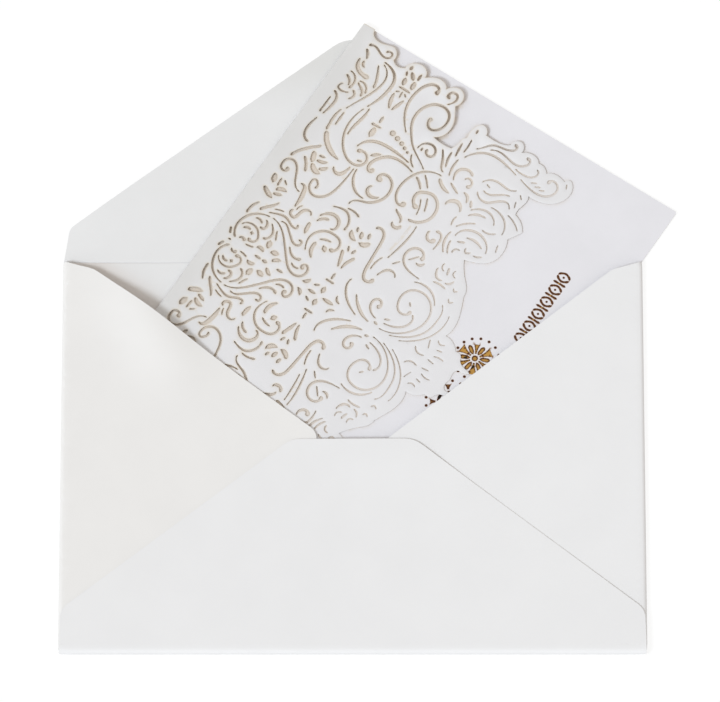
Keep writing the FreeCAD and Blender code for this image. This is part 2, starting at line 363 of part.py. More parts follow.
BIG_RING = [
    ([(64.9, 59.9), (64.4, 58.3), (62.8, 57.5), (60.6, 58.2), (59.4, 60.2), (59.5, 62.6), (61.1, 64.7),
      (64.0, 65.9), (68.0, 66.3)], 0.8, BALL, POINTED),
    ([(61.3, 62.6), (62.5, 61.2), (63.6, 59.8)], 0.6, POINTED, POINTED),
    ([(64.0, 62.2), (65.5, 62.2), (66.5, 60.9)], 0.9, POINTED, POINTED),
    ([(67.4, 68.0), (70.0, 67.2), (73.4, 67.6), (76.2, 69.5), (77.4, 71.2)], 0.7, POINTED, POINTED),
    ([(72.2, 77.6), (71.0, 79.2), (69.0, 79.2), (67.1, 77.0), (66.7, 73.8), (68.0, 71.1), (71.0, 69.7),
      (74.6, 70.3), (77.3, 72.9), (78.3, 76.6), (77.5, 80.4), (75.4, 83.6), (72.0, 86.3), (67.0, 87.7)],
     0.7, BALL, POINTED),
    ([(70.3, 74.8), (71.0, 75.6)], 0.6, BLUNT, BLUNT),
    ([(79.4, 69.6), (80.8, 71.9), (81.1, 75.0), (80.6, 79.2), (78.6, 82.9), (75.0, 85.9), (71.0, 87.8)],
     0.6, POINTED, POINTED),
    ([(83.4, 71.6), (83.9, 74.8), (83.3, 78.4), (81.5, 82.0), (78.4, 85.2),
      (74.6, 87.6)], 0.5, POINTED, POINTED),
    ([(73.6, 78.0), (74.4, 79.6), (73.9, 81.8), (71.3, 84.2), (67.2, 85.4)], 0.7, BLUNT, POINTED),
    ([(66.8, 84.0), (68.3, 83.3)], 0.7, BLUNT, POINTED),
    ([(62.6, 81.6), (62.8, 80.3), (61.7, 79.4), (60.4, 79.9), (59.9, 82.0), (61.3, 84.3), (64.0, 85.4)],
     0.8, BALL, POINTED),
    ([(64.6, 86.7), (65.4, 86.9)], 0.9, BLUNT, BLUNT),
]

EDGE_ROSES = [
    ([(67.6, 44.4), (69.6, 42.0), (72.4, 40.2)], 0.6, POINTED, POINTED),
    ([(69.2, 47.2), (70.3, 44.4), (73.4, 42.7), (77.0, 42.9), (79.7, 44.7),
      (80.9, 47.2)], 0.8, POINTED, POINTED),
    ([(72.8, 45.9), (75.6, 45.4), (78.8, 46.5)], 0.9, POINTED, POINTED),
    ([(71.0, 48.6), (73.0, 47.7)], 0.7, POINTED, BLUNT),
    ([(67.3, 46.8), (67.1, 49.6), (68.0, 52.4), (69.2, 54.2)], 0.8, POINTED, POINTED),
    ([(69.0, 49.4), (69.4, 51.6), (70.6, 53.8)], 0.7, POINTED, POINTED),
    ([(71.6, 52.6), (72.0, 51.2), (73.4, 50.8)], 0.6, BLUNT, POINTED),
    ([(74.6, 49.0), (75.3, 50.4), (76.8, 49.6)], 0.7, POINTED, POINTED),
    ([(78.0, 50.0), (79.6, 49.6), (80.6, 48.8)], 0.6, POINTED, POINTED),
    ([(82.6, 42.6), (83.4, 45.2)], 0.6, POINTED, POINTED),
    ([(71.0, 59.6), (71.4, 61.4), (72.8, 62.8), (74.4, 62.6)], 0.8, POINTED, POINTED),
    ([(71.9, 57.2), (72.0, 58.8), (73.2, 59.6)], 0.5, POINTED, POINTED),
    ([(74.2, 58.0), (74.8, 60.2)], 0.8, BLUNT, POINTED),
    ([(76.4, 57.4), (76.4, 59.0), (77.6, 59.6)], 0.5, POINTED, POINTED),
    ([(75.8, 62.8), (77.3, 62.2), (77.9, 60.8)], 0.7, POINTED, POINTED),
    ([(72.4, 64.5), (74.7, 64.1), (77.0, 64.5)], 0.7, POINTED, POINTED),
    ([(79.2, 62.8), (80.0, 63.6), (80.8, 63.0)], 0.6, POINTED, POINTED),
    ([(79.9, 66.7), (80.7, 67.6), (81.7, 66.9)], 0.6, POINTED, POINTED),
]

TIP_LEAVES = [
    ([(80.2, 86.0), (81.6, 87.4), (84.2, 87.2)], 0.6, POINTED, POINTED),
    ([(82.9, 81.6), (84.0, 84.4)], 0.5, POINTED, POINTED),
    ([(85.2, 80.4), (86.4, 81.2), (87.8, 80.6)], 0.5, POINTED, POINTED),
    ([(86.6, 83.4), (88.4, 83.0)], 0.5, POINTED, POINTED),
    ([(87.0, 85.8), (88.8, 85.2), (90.4, 85.4)], 0.5, POINTED, POINTED),
    ([(86.0, 87.6), (88.4, 87.9)], 0.5, POINTED, POINTED),
]

ON_AXIS = [
    ([(17.2, DRAWN_AXIS), (19.2, DRAWN_AXIS)], 0.9, POINTED, BLUNT),
    ([(20.8, DRAWN_AXIS), (21.8, DRAWN_AXIS)], 1.2, BLUNT, BLUNT),
    ([(26.8, DRAWN_AXIS), (28.8, DRAWN_AXIS)], 0.9, BLUNT, POINTED),
    ([(6.0, DRAWN_AXIS), (6.6, DRAWN_AXIS)], 0.6, BLUNT, BLUNT),
    ([(39.6, DRAWN_AXIS), (41.0, DRAWN_AXIS), (42.4, DRAWN_AXIS)], 1.1, POINTED, POINTED),
    ([(45.6, DRAWN_AXIS), (47.6, DRAWN_AXIS), (49.6, DRAWN_AXIS)], 1.3, POINTED, POINTED),
]

HALF_LACE = (FOLD_RIBBON + LONG_SCROLLS + FLOWER_PENDANT + ROSES + HEART + FAN_SCROLL + TULIP_PENDANT
             + ACANTHUS + RING_SCROLL + BIG_RING + EDGE_ROSES + TIP_LEAVES)

# The lace leaf's free edge, from the fold corner to the middle of the card, as runs of scallops.
FREE_EDGE = [
    [(3.6, 0.0), (4.6, 1.3), (7.0, 1.7), (10.0, 1.1), (12.6, 0.9), (14.6, 2.6), (15.0, 5.0)],
    [(15.0, 5.0), (17.4, 6.3), (20.2, 5.4)],
    [(20.2, 5.4), (21.0, 3.2), (23.0, 2.0), (25.6, 1.9), (27.6, 3.2), (28.2, 5.2)],
    [(28.2, 5.2), (30.2, 3.9), (33.0, 3.1), (35.6, 3.7), (36.9, 5.2)],
    [(36.9, 5.2), (38.2, 3.6), (40.6, 2.7), (43.0, 3.7), (44.1, 6.2), (43.1, 8.8)],
    [(43.1, 8.8), (45.0, 11.8), (46.3, 14.8), (46.4, 18.2), (43.4, 22.0)],
    [(43.4, 22.0), (46.6, 22.5), (50.6, 22.3)],
    [(50.6, 22.3), (51.6, 19.8), (51.8, 17.2)],
    [(51.8, 17.2), (52.7, 16.4), (52.5, 14.8)],
    [(52.5, 14.8), (52.8, 12.2), (53.7, 10.4), (55.2, 9.7), (56.8, 10.4), (57.7, 12.3)],
    [(57.7, 12.3), (61.0, 12.5), (64.2, 12.1), (66.4, 10.9)],
    [(66.4, 10.9), (67.0, 8.9), (68.8, 8.2), (70.4, 9.3), (70.8, 11.5)],
    [(70.8, 11.5), (72.6, 10.3), (75.2, 10.1), (77.6, 11.6)],
    [(77.6, 11.6), (79.8, 11.8), (81.6, 13.3)],
    [(81.6, 13.3), (83.6, 12.1), (86.0, 12.1), (88.0, 12.7)],
    [(88.0, 12.7), (89.6, 11.4), (91.4, 13.2), (92.0, 16.2), (90.8, 19.4), (88.0, 21.9), (84.4, 23.0),
     (81.2, 23.0)],
    [(81.2, 23.0), (81.8, 25.4), (81.2, 28.2), (81.4, 30.8)],
    [(81.4, 30.8), (84.4, 32.2), (86.6, 34.8)],
    [(86.6, 34.8), (85.4, 37.0), (84.0, 39.2)],
    [(84.0, 39.2), (85.2, 42.4), (85.2, 46.0), (83.6, 49.2), (80.4, 51.4), (76.4, 52.8)],
    [(76.4, 52.8), (78.0, 55.4), (80.0, 57.8), (82.4, 60.4), (83.4, 63.4)],
    [(83.4, 63.4), (85.0, 67.0), (86.4, 70.8), (86.9, 74.6), (86.2, 77.8)],
    [(86.2, 77.8), (88.6, 78.0), (90.6, 79.2), (91.8, 80.4)],
    [(91.8, 80.4), (93.8, 80.6), (94.6, 82.0)],
    [(94.6, 82.0), (96.0, 83.2), (97.8, 83.7), (DRAWN_REACH, 84.3), (98.4, 85.0), (96.6, 85.1)],
    [(96.6, 85.1), (95.4, 86.0), (95.2, 87.2), (95.6, DRAWN_AXIS)],
]

# ---------------------------------------------------------------- cut-outs of the leaf below
ROSETTE_CENTRE = (96.6, 80.35)
ROSETTE_EYE_RADIUS = 0.95
ROSETTE_PETALS = 12            # fans and drops by turns
ROSETTE_TURN = 6.5             # where its first petal points, degrees
WIDE_FAN_TURN = 2              # in each run of four petals, the one that is a wide fan
FAN_EVERY = 2
WIDE_FAN_EVERY = 4
WIDE_FAN = [(1.7, 0.25), (3.2, 0.48), (4.5, 0.95), (5.7, 1.65)]    # (from the centre, half width)
NARROW_FAN = [(1.7, 0.22), (3.0, 0.38), (4.0, 0.6), (4.9, 0.95)]
DROP_ROUTE = (1.8, 3.0, 4.3)
DROP_WIDTH = 1.3
DROP = 0.3                     # the narrow inner end of a drop, as a share of its width
RING_CENTRE = (97.3, 80.25)    # a ring of dots goes round the rosette and round the star
RING_DOTS = 16
RING_RADIUS = 7.37
RING_DOT_RADIUS = 0.42
STAR_CENTRE = (97.7, 97.8)
STAR_EYE_RADIUS = 0.95
STAR_ARCS = 4
STAR_ARC_RADIUS = 3.3
STAR_ARC_WIDTH = 0.9
STAR_ARC_ENDS = 0.45
STAR_ARC_SPREAD = (-36.0, -18.0, 0.0, 18.0, 36.0)
STAR_FANS = 8
STAR_FAN_TURN = 11.0
STAR_FAN = [(4.3, 0.3), (5.1, 0.52), (5.9, 1.0)]
BORDER_LINE = 105.2            # middle of the cut border, from the fold edge
BORDER_START = 40.25
BORDER_PITCH = 5.15
BORDER_REPEATS = 6
BORDER_HALF = 2.0
BORDER_STROKE = 0.62
EYE_CORNER = 0.45              # half an eye's width at its two ends
EYE_BULGE = 1.5                # and in its middle


# ---------------------------------------------------------------- curves and slots
def leaf_point(point, level=0.0):
    """A point of the card in its own frame: X from the fold edge, Y down from the top edge."""
    return Vector(point[0], -point[1], level)


def on_card(point):
    """A point of the card size that the cut-outs are drawn for, spread over the real card."""
    return leaf_point((point[0] * CARD_WIDTH / DRAWN_WIDTH, point[1] * CARD_LENGTH / DRAWN_LENGTH))


def drawn(point, mirrored=False):
    """A drawn point of the lace, where the cutter put it on the card."""
    across, along = point
    from_top = DRAWN_LENGTH - along if mirrored else along
    down = min(from_top, DRAWN_AXIS)
    bow = LACE_BOW * (across / LACE_BOW_LINE - 1.0) ** 2
    flare = LACE_FLARE * (1.0 - across / DRAWN_REACH) ** 2 * (1.0 - down / LACE_FLARE_END)
    if mirrored:
        off_middle = from_top / DRAWN_AXIS - 1.0
        slip = (OTHER_HALF_SLIP + OTHER_HALF_SPREAD * across) * (1.0 - off_middle ** 2)
    else:
        turned = (across - FIRST_HALF_CENTRE[0]) * (along - FIRST_HALF_CENTRE[1])
        slip = FIRST_HALF_SLIP + FIRST_HALF_TWIST * turned
    return on_card((across * LACE_NARROWING + bow + flare - LACE_SKEW * down, from_top + slip))


def drawn_on_axis(point):
    """A point on the lace's axis, midway between the places the two halves give it."""
    return (drawn(point) + drawn(point, True)) * 0.5


def smooth_curve(points):
    curve = Part.BSplineCurve()
    curve.interpolate(points)
    return curve


def end_swell(distance, length, share, width):
    """How the end of a slot narrows to a point, or swells to a ball."""
    if share > 1.0:
        reach = BALL_REACH * width * share
    else:
        reach = TAPER_SHARE * length
    near = min(1.0, distance / min(reach, END_LIMIT * length))
    return share + (1.0 - share) * near * (2.0 - near)


def slot_wire(route, width, start, end):
    """The closed outline of one slot, a smooth loop around its route."""
    full = width * DRAWN_SCALE
    middle = smooth_curve(route)
    first = middle.FirstParameter
    length = middle.length()
    steps = max(4, int(round(length / (SLOT_STEP * DRAWN_SCALE))))
    left = []
    right = []
    for step in range(steps + 1):
        distance = length * step / steps
        parameter = middle.parameterAtDistance(distance, first)
        centre = middle.value(parameter)
        along = Vector(*middle.tangent(parameter)[0])
        across = Vector(-along.y, along.x, 0.0)
        swell = end_swell(distance, length, start, full) * end_swell(length - distance, length, end, full)
        half = 0.5 * full * swell
        left.append(centre + across * half)
        right.append(centre - across * half)
        if step == 0:
            head = centre - along * half
        tail = centre + along * half
    loop = Part.BSplineCurve()
    loop.interpolate(Points=[head] + left + [tail] + right[::-1], PeriodicFlag=True)
    return Part.Wire([loop.toShape()])


def dot_wire(centre, radius):
    circle = Part.Circle(centre, Vector(0, 0, 1), radius * DRAWN_SCALE)
    return Part.Wire([circle.toShape()])


def lace_slots():
    wires = []
    for mirrored in (False, True):
        for route, width, start, end in HALF_LACE:
            wires.append(slot_wire([drawn(point, mirrored) for point in route], width, start, end))
        for centre, radius in GRADED_DOTS:
            wires.append(dot_wire(drawn(centre, mirrored), radius))
    for route, width, start, end in ON_AXIS:
        wires.append(slot_wire([drawn_on_axis(point) for point in route], width, start, end))
    return wires


def free_edge_half(mirrored):
    """One half of the free edge, from the end of the card to the axis."""
    end = CARD_LENGTH if mirrored else 0.0
    meeting = drawn_on_axis(FREE_EDGE[-1][-1])
    edges = []
    for run in FREE_EDGE:
        points = [drawn(point, mirrored) for point in run]
        if run is FREE_EDGE[0]:
            points[0] = leaf_point((LACE_START * CARD_WIDTH / DRAWN_WIDTH, end))
        if run is FREE_EDGE[-1]:
            points[-1] = meeting
        if mirrored:
            points.reverse()
        edges.append(smooth_curve(points).toShape())
    if mirrored:
        edges.reverse()
    return edges


def lace_outline():
    """The lace leaf: straight along the fold, scalloped along its three free sides."""
    corner_top = leaf_point((FOLD_OUTER_RADIUS, 0.0))
    corner_bottom = leaf_point((FOLD_OUTER_RADIUS, CARD_LENGTH))
    start = leaf_point((LACE_START * CARD_WIDTH / DRAWN_WIDTH, 0.0))
    finish = leaf_point((LACE_START * CARD_WIDTH / DRAWN_WIDTH, CARD_LENGTH))
    edges = [Part.makeLine(corner_top, start)]
    edges += free_edge_half(False)
    edges += free_edge_half(True)
    edges.append(Part.makeLine(finish, corner_bottom))
    edges.append(Part.makeLine(corner_bottom, corner_top))
    return Part.Wire(edges)


def sheet(outline, holes, level, thickness):
    """A flat sheet of the given outline with its cut-outs, its underside at the given level."""
    face = Part.makeFace([outline] + holes, "Part::FaceMakerBullseye")
    face.translate(Vector(0, 0, level))
    return face.extrude(Vector(0, 0, thickness))


# ---------------------------------------------------------------- cut-outs of the base leaf
def around(centre, radius, angle):
    turn = math.radians(angle)
    return on_card((centre[0] + radius * math.cos(turn), centre[1] + radius * math.sin(turn)))


def fan_wire(centre, angle, profile):
    """A cut-out that opens outwards along a ray, from a narrow foot to a wide straight end."""
    turn = math.radians(angle)
    flanks = []
    for side in (-1.0, 1.0):
        flank = []
        for reach, half in profile:
            off_fold = centre[0] + reach * math.cos(turn) - side * half * math.sin(turn)
            down = centre[1] + reach * math.sin(turn) + side * half * math.cos(turn)
            flank.append(on_card((off_fold, down)))
        flanks.append(flank)
    left, right = flanks
    return Part.Wire([smooth_curve(left).toShape(), Part.makeLine(left[-1], right[-1]),
                      smooth_curve(right[::-1]).toShape(), Part.makeLine(right[0], left[0])])


def dot_ring(centre):
    return [dot_wire(around(centre, RING_RADIUS, 360.0 * dot / RING_DOTS), RING_DOT_RADIUS)
            for dot in range(RING_DOTS)]


def rosette_holes():
    """A daisy of fans and drops in a ring of dots."""
    wires = [dot_wire(on_card(ROSETTE_CENTRE), ROSETTE_EYE_RADIUS)]
    for petal in range(ROSETTE_PETALS):
        angle = 360.0 * petal / ROSETTE_PETALS + ROSETTE_TURN
        if petal % WIDE_FAN_EVERY == WIDE_FAN_TURN:
            wires.append(fan_wire(ROSETTE_CENTRE, angle, WIDE_FAN))
        elif petal % FAN_EVERY == 0:
            wires.append(fan_wire(ROSETTE_CENTRE, angle, NARROW_FAN))
        else:
            route = [around(ROSETTE_CENTRE, radius, angle) for radius in DROP_ROUTE]
            wires.append(slot_wire(route, DROP_WIDTH, DROP, 1.0))
    return wires + dot_ring(RING_CENTRE)


def star_holes():
    """A star of eight fans round four arcs, in its own ring of dots."""
    wires = [dot_wire(on_card(STAR_CENTRE), STAR_EYE_RADIUS)]
    for arc in range(STAR_ARCS):
        facing = 360.0 * arc / STAR_ARCS
        route = [around(STAR_CENTRE, STAR_ARC_RADIUS, facing + turn) for turn in STAR_ARC_SPREAD]
        wires.append(slot_wire(route, STAR_ARC_WIDTH, STAR_ARC_ENDS, STAR_ARC_ENDS))
    for fan in range(STAR_FANS):
        wires.append(fan_wire(STAR_CENTRE, 360.0 * fan / STAR_FANS + STAR_FAN_TURN, STAR_FAN))
    return wires + dot_ring(STAR_CENTRE)


def border_holes():
    """A band of eyes, each two facing arcs round a dot, with a bar between neighbours."""
    wires = []
    near = BORDER_LINE - BORDER_HALF
    far = BORDER_LINE + BORDER_HALF
    for repeat in range(BORDER_REPEATS):
        middle = BORDER_START + repeat * BORDER_PITCH
        for side in (-1.0, 1.0):
            corner = middle + side * EYE_CORNER
            route = [(near, corner), (BORDER_LINE, middle + side * EYE_BULGE), (far, corner)]
            wires.append(slot_wire([on_card(point) for point in route], BORDER_STROKE, BLUNT, BLUNT))
        wires.append(dot_wire(on_card((BORDER_LINE, middle)), 0.5 * BORDER_STROKE))
        if repeat < BORDER_REPEATS - 1:
            between = middle + 0.5 * BORDER_PITCH
            bar = [on_card((near, between)), on_card((far, between))]
            wires.append(slot_wire(bar, BORDER_STROKE, BLUNT, BLUNT))
    return wires


def base_holes():
    return rosette_holes() + star_holes() + border_holes()


# ---------------------------------------------------------------- the folded card
def rounded_corner_outline(near, far, length, radius):
    """A rectangle from one distance off the fold to another, its two far corners rounded."""
    bend = radius * (1.0 - math.sqrt(0.5))
    start = leaf_point((near, 0.0))
    top = leaf_point((far - radius, 0.0))
    top_bend = leaf_point((far - bend, bend))
    right_top = leaf_point((far, radius))
    right_bottom = leaf_point((far, length - radius))
    bottom_bend = leaf_point((far - bend, length - bend))
    bottom = leaf_point((far - radius, length))
    end = leaf_point((near, length))
    edges = [Part.makeLine(start, top), Part.Arc(top, top_bend, right_top).toShape(),
             Part.makeLine(right_top, right_bottom), Part.Arc(right_bottom, bottom_bend, bottom).toShape(),
             Part.makeLine(bottom, end), Part.makeLine(end, start)]
    return Part.Wire(edges)


def base_leaf():
    outline = rounded_corner_outline(FOLD_OUTER_RADIUS, CARD_WIDTH, CARD_LENGTH, CARD_CORNER_RADIUS)
    return sheet(outline, base_holes(), BASE_LEVEL, CARD_PAPER)


def fold_axis_turn(shape, angle):
    """Turn a shape about the middle of the fold, so that its +X side rises for a positive angle."""
    turned = shape.copy()
    turned.rotate(Vector(FOLD_OUTER_RADIUS, 0, FOLD_CENTRE_LEVEL), Vector(0, 1, 0), -angle)
    return turned


def card_fold():
    """The rounded fold: the card's own thickness, swept half round."""
    low = leaf_point((FOLD_OUTER_RADIUS, 0.0), BASE_LEVEL)
    along = Vector(0, -CARD_LENGTH, 0)
    through = Vector(0, 0, CARD_PAPER)
    section = Part.makePolygon([low, low + along, low + along + through, low + through, low])
    centre = Vector(FOLD_OUTER_RADIUS, 0, FOLD_CENTRE_LEVEL)
    return Part.Face(section).revolve(centre, Vector(0, 1, 0), 180.0 - LACE_RISE_ANGLE)


def lace_leaf():
    flat = sheet(lace_outline(), lace_slots(), FOLD_TOP - CARD_PAPER, CARD_PAPER)
    return fold_axis_turn(flat, LACE_RISE_ANGLE)


def place_card(shape):
    """Lay a shape of the card's own frame in the envelope."""
    placed = shape.copy()
    placed.rotate(Vector(0, 0, 0), Vector(0, 0, 1), -CARD_ANGLE)
    placed.translate(Vector(CARD_CORNER_X, CARD_CORNER_Y, 0))
    return placed


def lace_card():
    return place_card(base_leaf().fuse([card_fold(), lace_leaf()]))


def gold_backing():
    """The sheet glued under the base leaf, seen through its cut-outs."""
    near = leaf_point((BACKING_MARGIN, BACKING_MARGIN))
    far = leaf_point((CARD_WIDTH - BACKING_FAR_MARGIN, CARD_LENGTH - BACKING_MARGIN))
    outline = Part.makePolygon([near, Vector(far.x, near.y, 0), far, Vector(near.x, far.y, 0), near])
    return place_card(sheet(outline, [], BACKING_LEVEL, BACKING_PAPER))


# ---------------------------------------------------------------- the envelope
def rounded_outline(corners):
    """A closed flat outline from corners (x, y, radius), each corner a tangent arc."""
    starts = []
    arcs = []
    ends = []
    count = len(corners)
    for index, (x, y, radius) in enumerate(corners):
        corner = Vector(x, y, 0)
        before = Vector(*corners[index - 1][:2], 0) - corner
        after = Vector(*corners[(index + 1) % count][:2], 0) - corner
        before.normalize()
        after.normalize()
        half_angle = 0.5 * before.getAngle(after)
        if radius == 0.0:
            starts.append(corner)
            ends.append(corner)
            arcs.append(None)
            continue
        reach = radius / math.tan(half_angle)
        bisector = before + after
        bisector.normalize()
        middle = corner + bisector * (radius / math.sin(half_angle) - radius)
        starts.append(corner + before * reach)
        ends.append(corner + after * reach)
        arcs.append(Part.Arc(starts[-1], middle, ends[-1]).toShape())
    edges = []
    for index in range(count):
        if arcs[index] is not None:
            edges.append(arcs[index])
        edges.append(Part.makeLine(ends[index], starts[(index + 1) % count]))
    return Part.Wire(edges)


def flat_panel():
    """The address panel and the open flap beyond its crease: one flat sheet."""
    shoulder_x = HALF_WIDTH - OPEN_FLAP_SHOULDER_INSET
    shoulder_y = HALF_HEIGHT + OPEN_FLAP_SHOULDER_RISE
    tip_y = HALF_HEIGHT + OPEN_FLAP_LENGTH
    half_right = [(FOLD_X, -FOLD_Y, 0.0), (FOLD_X, FOLD_HALF_LENGTH, 0.0),
                  (HALF_WIDTH, FOLD_HALF_LENGTH, 0.0), (HALF_WIDTH, HALF_HEIGHT, 0.0),
                  (shoulder_x, shoulder_y, OPEN_FLAP_SHOULDER_RADIUS)]
    half_left = [(-x, y, radius) for x, y, radius in half_right[::-1]]
    point = [(0.0, tip_y + OPEN_FLAP_TIP_BLUNTING, OPEN_FLAP_TIP_RADIUS)]
    return sheet(rounded_outline(half_right + point + half_left), [], 0.0, ENVELOPE_PAPER)


def strip(section_points, start_slope, along):
    """Paper whose underside follows a curve through the points, carried along a straight line."""
    lower_curve = Part.BSplineCurve()
    end_slope = section_points[-1] - section_points[-2]
    lower_curve.interpolate(Points=section_points, InitialTangent=start_slope, FinalTangent=end_slope)
    lower = lower_curve.toShape()
    upper = lower.copy()
    upper.translate(Vector(0, 0, ENVELOPE_PAPER))
    rise = Vector(0, 0, ENVELOPE_PAPER)
    first = Part.makeLine(section_points[0], section_points[0] + rise)
    last = Part.makeLine(section_points[-1], section_points[-1] + rise)
    section = Part.Wire(Part.__sortEdges__([lower, upper, first, last]))
    return Part.Face(section).extrude(along)


def trimmed(shape, corners):
    """Cut a sheet to a flat outline seen from above."""
    column = Part.Face(rounded_outline(corners)).extrude(Vector(0, 0, TALL))
    return shape.common(column)


def side_flap(side, tip_x, tip_y, belly):
    """A side flap; side is -1 for the left one and 1 for the right one."""
    root_x = side * FOLD_X
    crest_x = root_x + SIDE_FLAP_CREST_SHARE * (tip_x - root_x)
    low = -FOLD_HALF_LENGTH
    points = [Vector(root_x, low, SIDE_LEVEL), Vector(crest_x, low, SIDE_TIP_LEVEL + belly),
              Vector(tip_x, low, SIDE_TIP_LEVEL)]
    paper = strip(points, Vector(-side, 0, 0), Vector(0, 2.0 * FOLD_HALF_LENGTH, 0))
    shoulder_x = side * (HALF_WIDTH - SIDE_FLAP_SHOULDER)
    shoulder_y = FOLD_HALF_LENGTH - SIDE_FLAP_SHOULDER_DROP
    corners = [(root_x, -FOLD_HALF_LENGTH + SIDE_FLAP_FOOT, 0.0), (root_x, FOLD_HALF_LENGTH, 0.0),
               (shoulder_x, shoulder_y, SIDE_FLAP_SHOULDER_RADIUS),
               (tip_x, tip_y, SIDE_FLAP_TIP_RADIUS)]
    return trimmed(paper, corners)


def side_fold(side):
    """The rounded fold between the address panel and a side flap."""
    root_x = side * FOLD_X
    corner = Vector(root_x, -FOLD_HALF_LENGTH, 0)
    length = Vector(0, 2.0 * FOLD_HALF_LENGTH, 0)
    thick = Vector(0, 0, ENVELOPE_PAPER)
    section = Part.makePolygon([corner, corner + length, corner + length + thick, corner + thick, corner])
    return Part.Face(section).revolve(Vector(root_x, 0, SIDE_FOLD_RADIUS), Vector(0, -side, 0), 180.0)


def bottom_fold():
    half = HALF_WIDTH - SHOULDER
    corner = Vector(-half, -FOLD_Y, 0)
    length = Vector(2.0 * half, 0, 0)
    thick = Vector(0, 0, ENVELOPE_PAPER)
    section = Part.makePolygon([corner, corner + length, corner + length + thick, corner + thick, corner])
    return Part.Face(section).revolve(Vector(0, -FOLD_Y, BOTTOM_FOLD_RADIUS), Vector(-1, 0, 0), 180.0)


def bottom_flap():
    """The bottom flap, glued over both side flaps, with its blunt rounded point."""
    crest = SIDE_TOP + BOTTOM_FLAP_GAP
    crest_y = -HALF_HEIGHT + BOTTOM_FLAP_CREST_RISE
    points = [Vector(-HALF_WIDTH, -FOLD_Y, BOTTOM_LEVEL), Vector(-HALF_WIDTH, crest_y, crest),
              Vector(-HALF_WIDTH, BOTTOM_FLAP_EDGE_Y, crest - BOTTOM_FLAP_DIP)]
    paper = strip(points, Vector(0, 1, 0), Vector(ENVELOPE_WIDTH, 0, 0))
    root_half = HALF_WIDTH - SHOULDER
    side_x = HALF_WIDTH - BOTTOM_FLAP_INSET
    side_y = -HALF_HEIGHT + BOTTOM_FLAP_ROOT_RISE
    half_right = [(root_half, -FOLD_Y, 0.0), (side_x, -FOLD_HALF_LENGTH, BOTTOM_FLAP_FOOT_RADIUS),
                  (side_x, side_y, BOTTOM_FLAP_SIDE_RADIUS),
                  (BOTTOM_FLAP_EDGE_HALF, BOTTOM_FLAP_EDGE_Y, BOTTOM_FLAP_EDGE_RADIUS)]
    half_left = [(-x, y, radius) for x, y, radius in half_right[::-1]]
    return trimmed(paper, half_right + half_left)


def envelope():
    left_flap = side_flap(-1, LEFT_FLAP_TIP_X, LEFT_FLAP_TIP_Y, LEFT_FLAP_BELLY)
    right_flap = side_flap(1, RIGHT_FLAP_TIP_X, RIGHT_FLAP_TIP_Y, RIGHT_FLAP_BELLY)
    folds = [side_fold(-1), side_fold(1), bottom_fold()]
    return flat_panel().fuse(folds + [left_flap, right_flap, bottom_flap()])


# ---------------------------------------------------------------- output
def main():
    os.makedirs("parts", exist_ok=True)
    nodes = {"envelope": envelope(), "lace_card": lace_card(), "gold_backing": gold_backing()}
    for name, shape in nodes.items():
        solid = shape.removeSplitter()
        print(name, solid.ShapeType, len(solid.Solids), solid.isValid(), round(solid.Volume, 2))
        solid.exportStep("parts/" + name + ".step")


main()
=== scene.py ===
import math

import bpy
import numpy as np
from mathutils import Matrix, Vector, kdtree, noise
from mathutils.geometry import delaunay_2d_cdt


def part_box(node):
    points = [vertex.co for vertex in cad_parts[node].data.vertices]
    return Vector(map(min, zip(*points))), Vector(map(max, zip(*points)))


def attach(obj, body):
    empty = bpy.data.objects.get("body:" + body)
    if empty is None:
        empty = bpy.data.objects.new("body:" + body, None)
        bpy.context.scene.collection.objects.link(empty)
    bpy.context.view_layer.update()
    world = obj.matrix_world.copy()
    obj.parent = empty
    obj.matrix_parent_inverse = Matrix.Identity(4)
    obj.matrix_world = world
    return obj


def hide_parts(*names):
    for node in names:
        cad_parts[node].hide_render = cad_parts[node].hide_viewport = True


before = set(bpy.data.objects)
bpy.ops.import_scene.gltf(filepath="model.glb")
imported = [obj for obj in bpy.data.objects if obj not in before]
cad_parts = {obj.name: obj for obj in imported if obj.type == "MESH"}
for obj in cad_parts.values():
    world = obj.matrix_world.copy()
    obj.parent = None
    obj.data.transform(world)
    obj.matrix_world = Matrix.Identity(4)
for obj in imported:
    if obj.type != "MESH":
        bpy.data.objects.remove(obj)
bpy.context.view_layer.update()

MM = 0.001

# ---------------------------------------------------------------- the open envelope
# One sheet of smooth white wove paper, die cut and folded: an address panel, two side flaps
# glued under the bottom flap, and the open flap beyond its crease. It lies on its back.
ENVELOPE_LOW, ENVELOPE_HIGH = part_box("envelope")
HALF_WIDTH = ENVELOPE_HIGH[0]
HALF_HEIGHT = -ENVELOPE_LOW[1]
OPEN_FLAP_TIP = ENVELOPE_HIGH[1]
ENVELOPE_PAPER = 0.18 * MM
SIDE_RADIUS = 1.23 * MM          # outside of the rolled side folds
BOTTOM_RADIUS = 1.48 * MM
FOLD_X = HALF_WIDTH - SIDE_RADIUS
FOLD_Y = HALF_HEIGHT - BOTTOM_RADIUS
FOLD_END = HALF_HEIGHT - 0.3 * MM
SIDE_WRAP = math.pi * SIDE_RADIUS
BOTTOM_WRAP = math.pi * BOTTOM_RADIUS
card_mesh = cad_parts["lace_card"].data
card_points = np.array([vertex.co for vertex in card_mesh.vertices])
FOLD_TOP_END = card_points[card_points[:, 1].argmax()]
FOLD_LOW_END = card_points[card_points[:, 0].argmin()]
CARD_LENGTH = float(np.hypot(*(FOLD_LOW_END - FOLD_TOP_END)[:2]))
DOWN = (FOLD_LOW_END - FOLD_TOP_END)[:2] / CARD_LENGTH     # along the card's fold, from its top edge
ACROSS = np.array((-DOWN[1], DOWN[0]))                     # from the fold over the card
LEFT_TIP = Vector((-8.8 * MM, 6.0 * MM))      # the side flaps' points, and the left one's upper corner
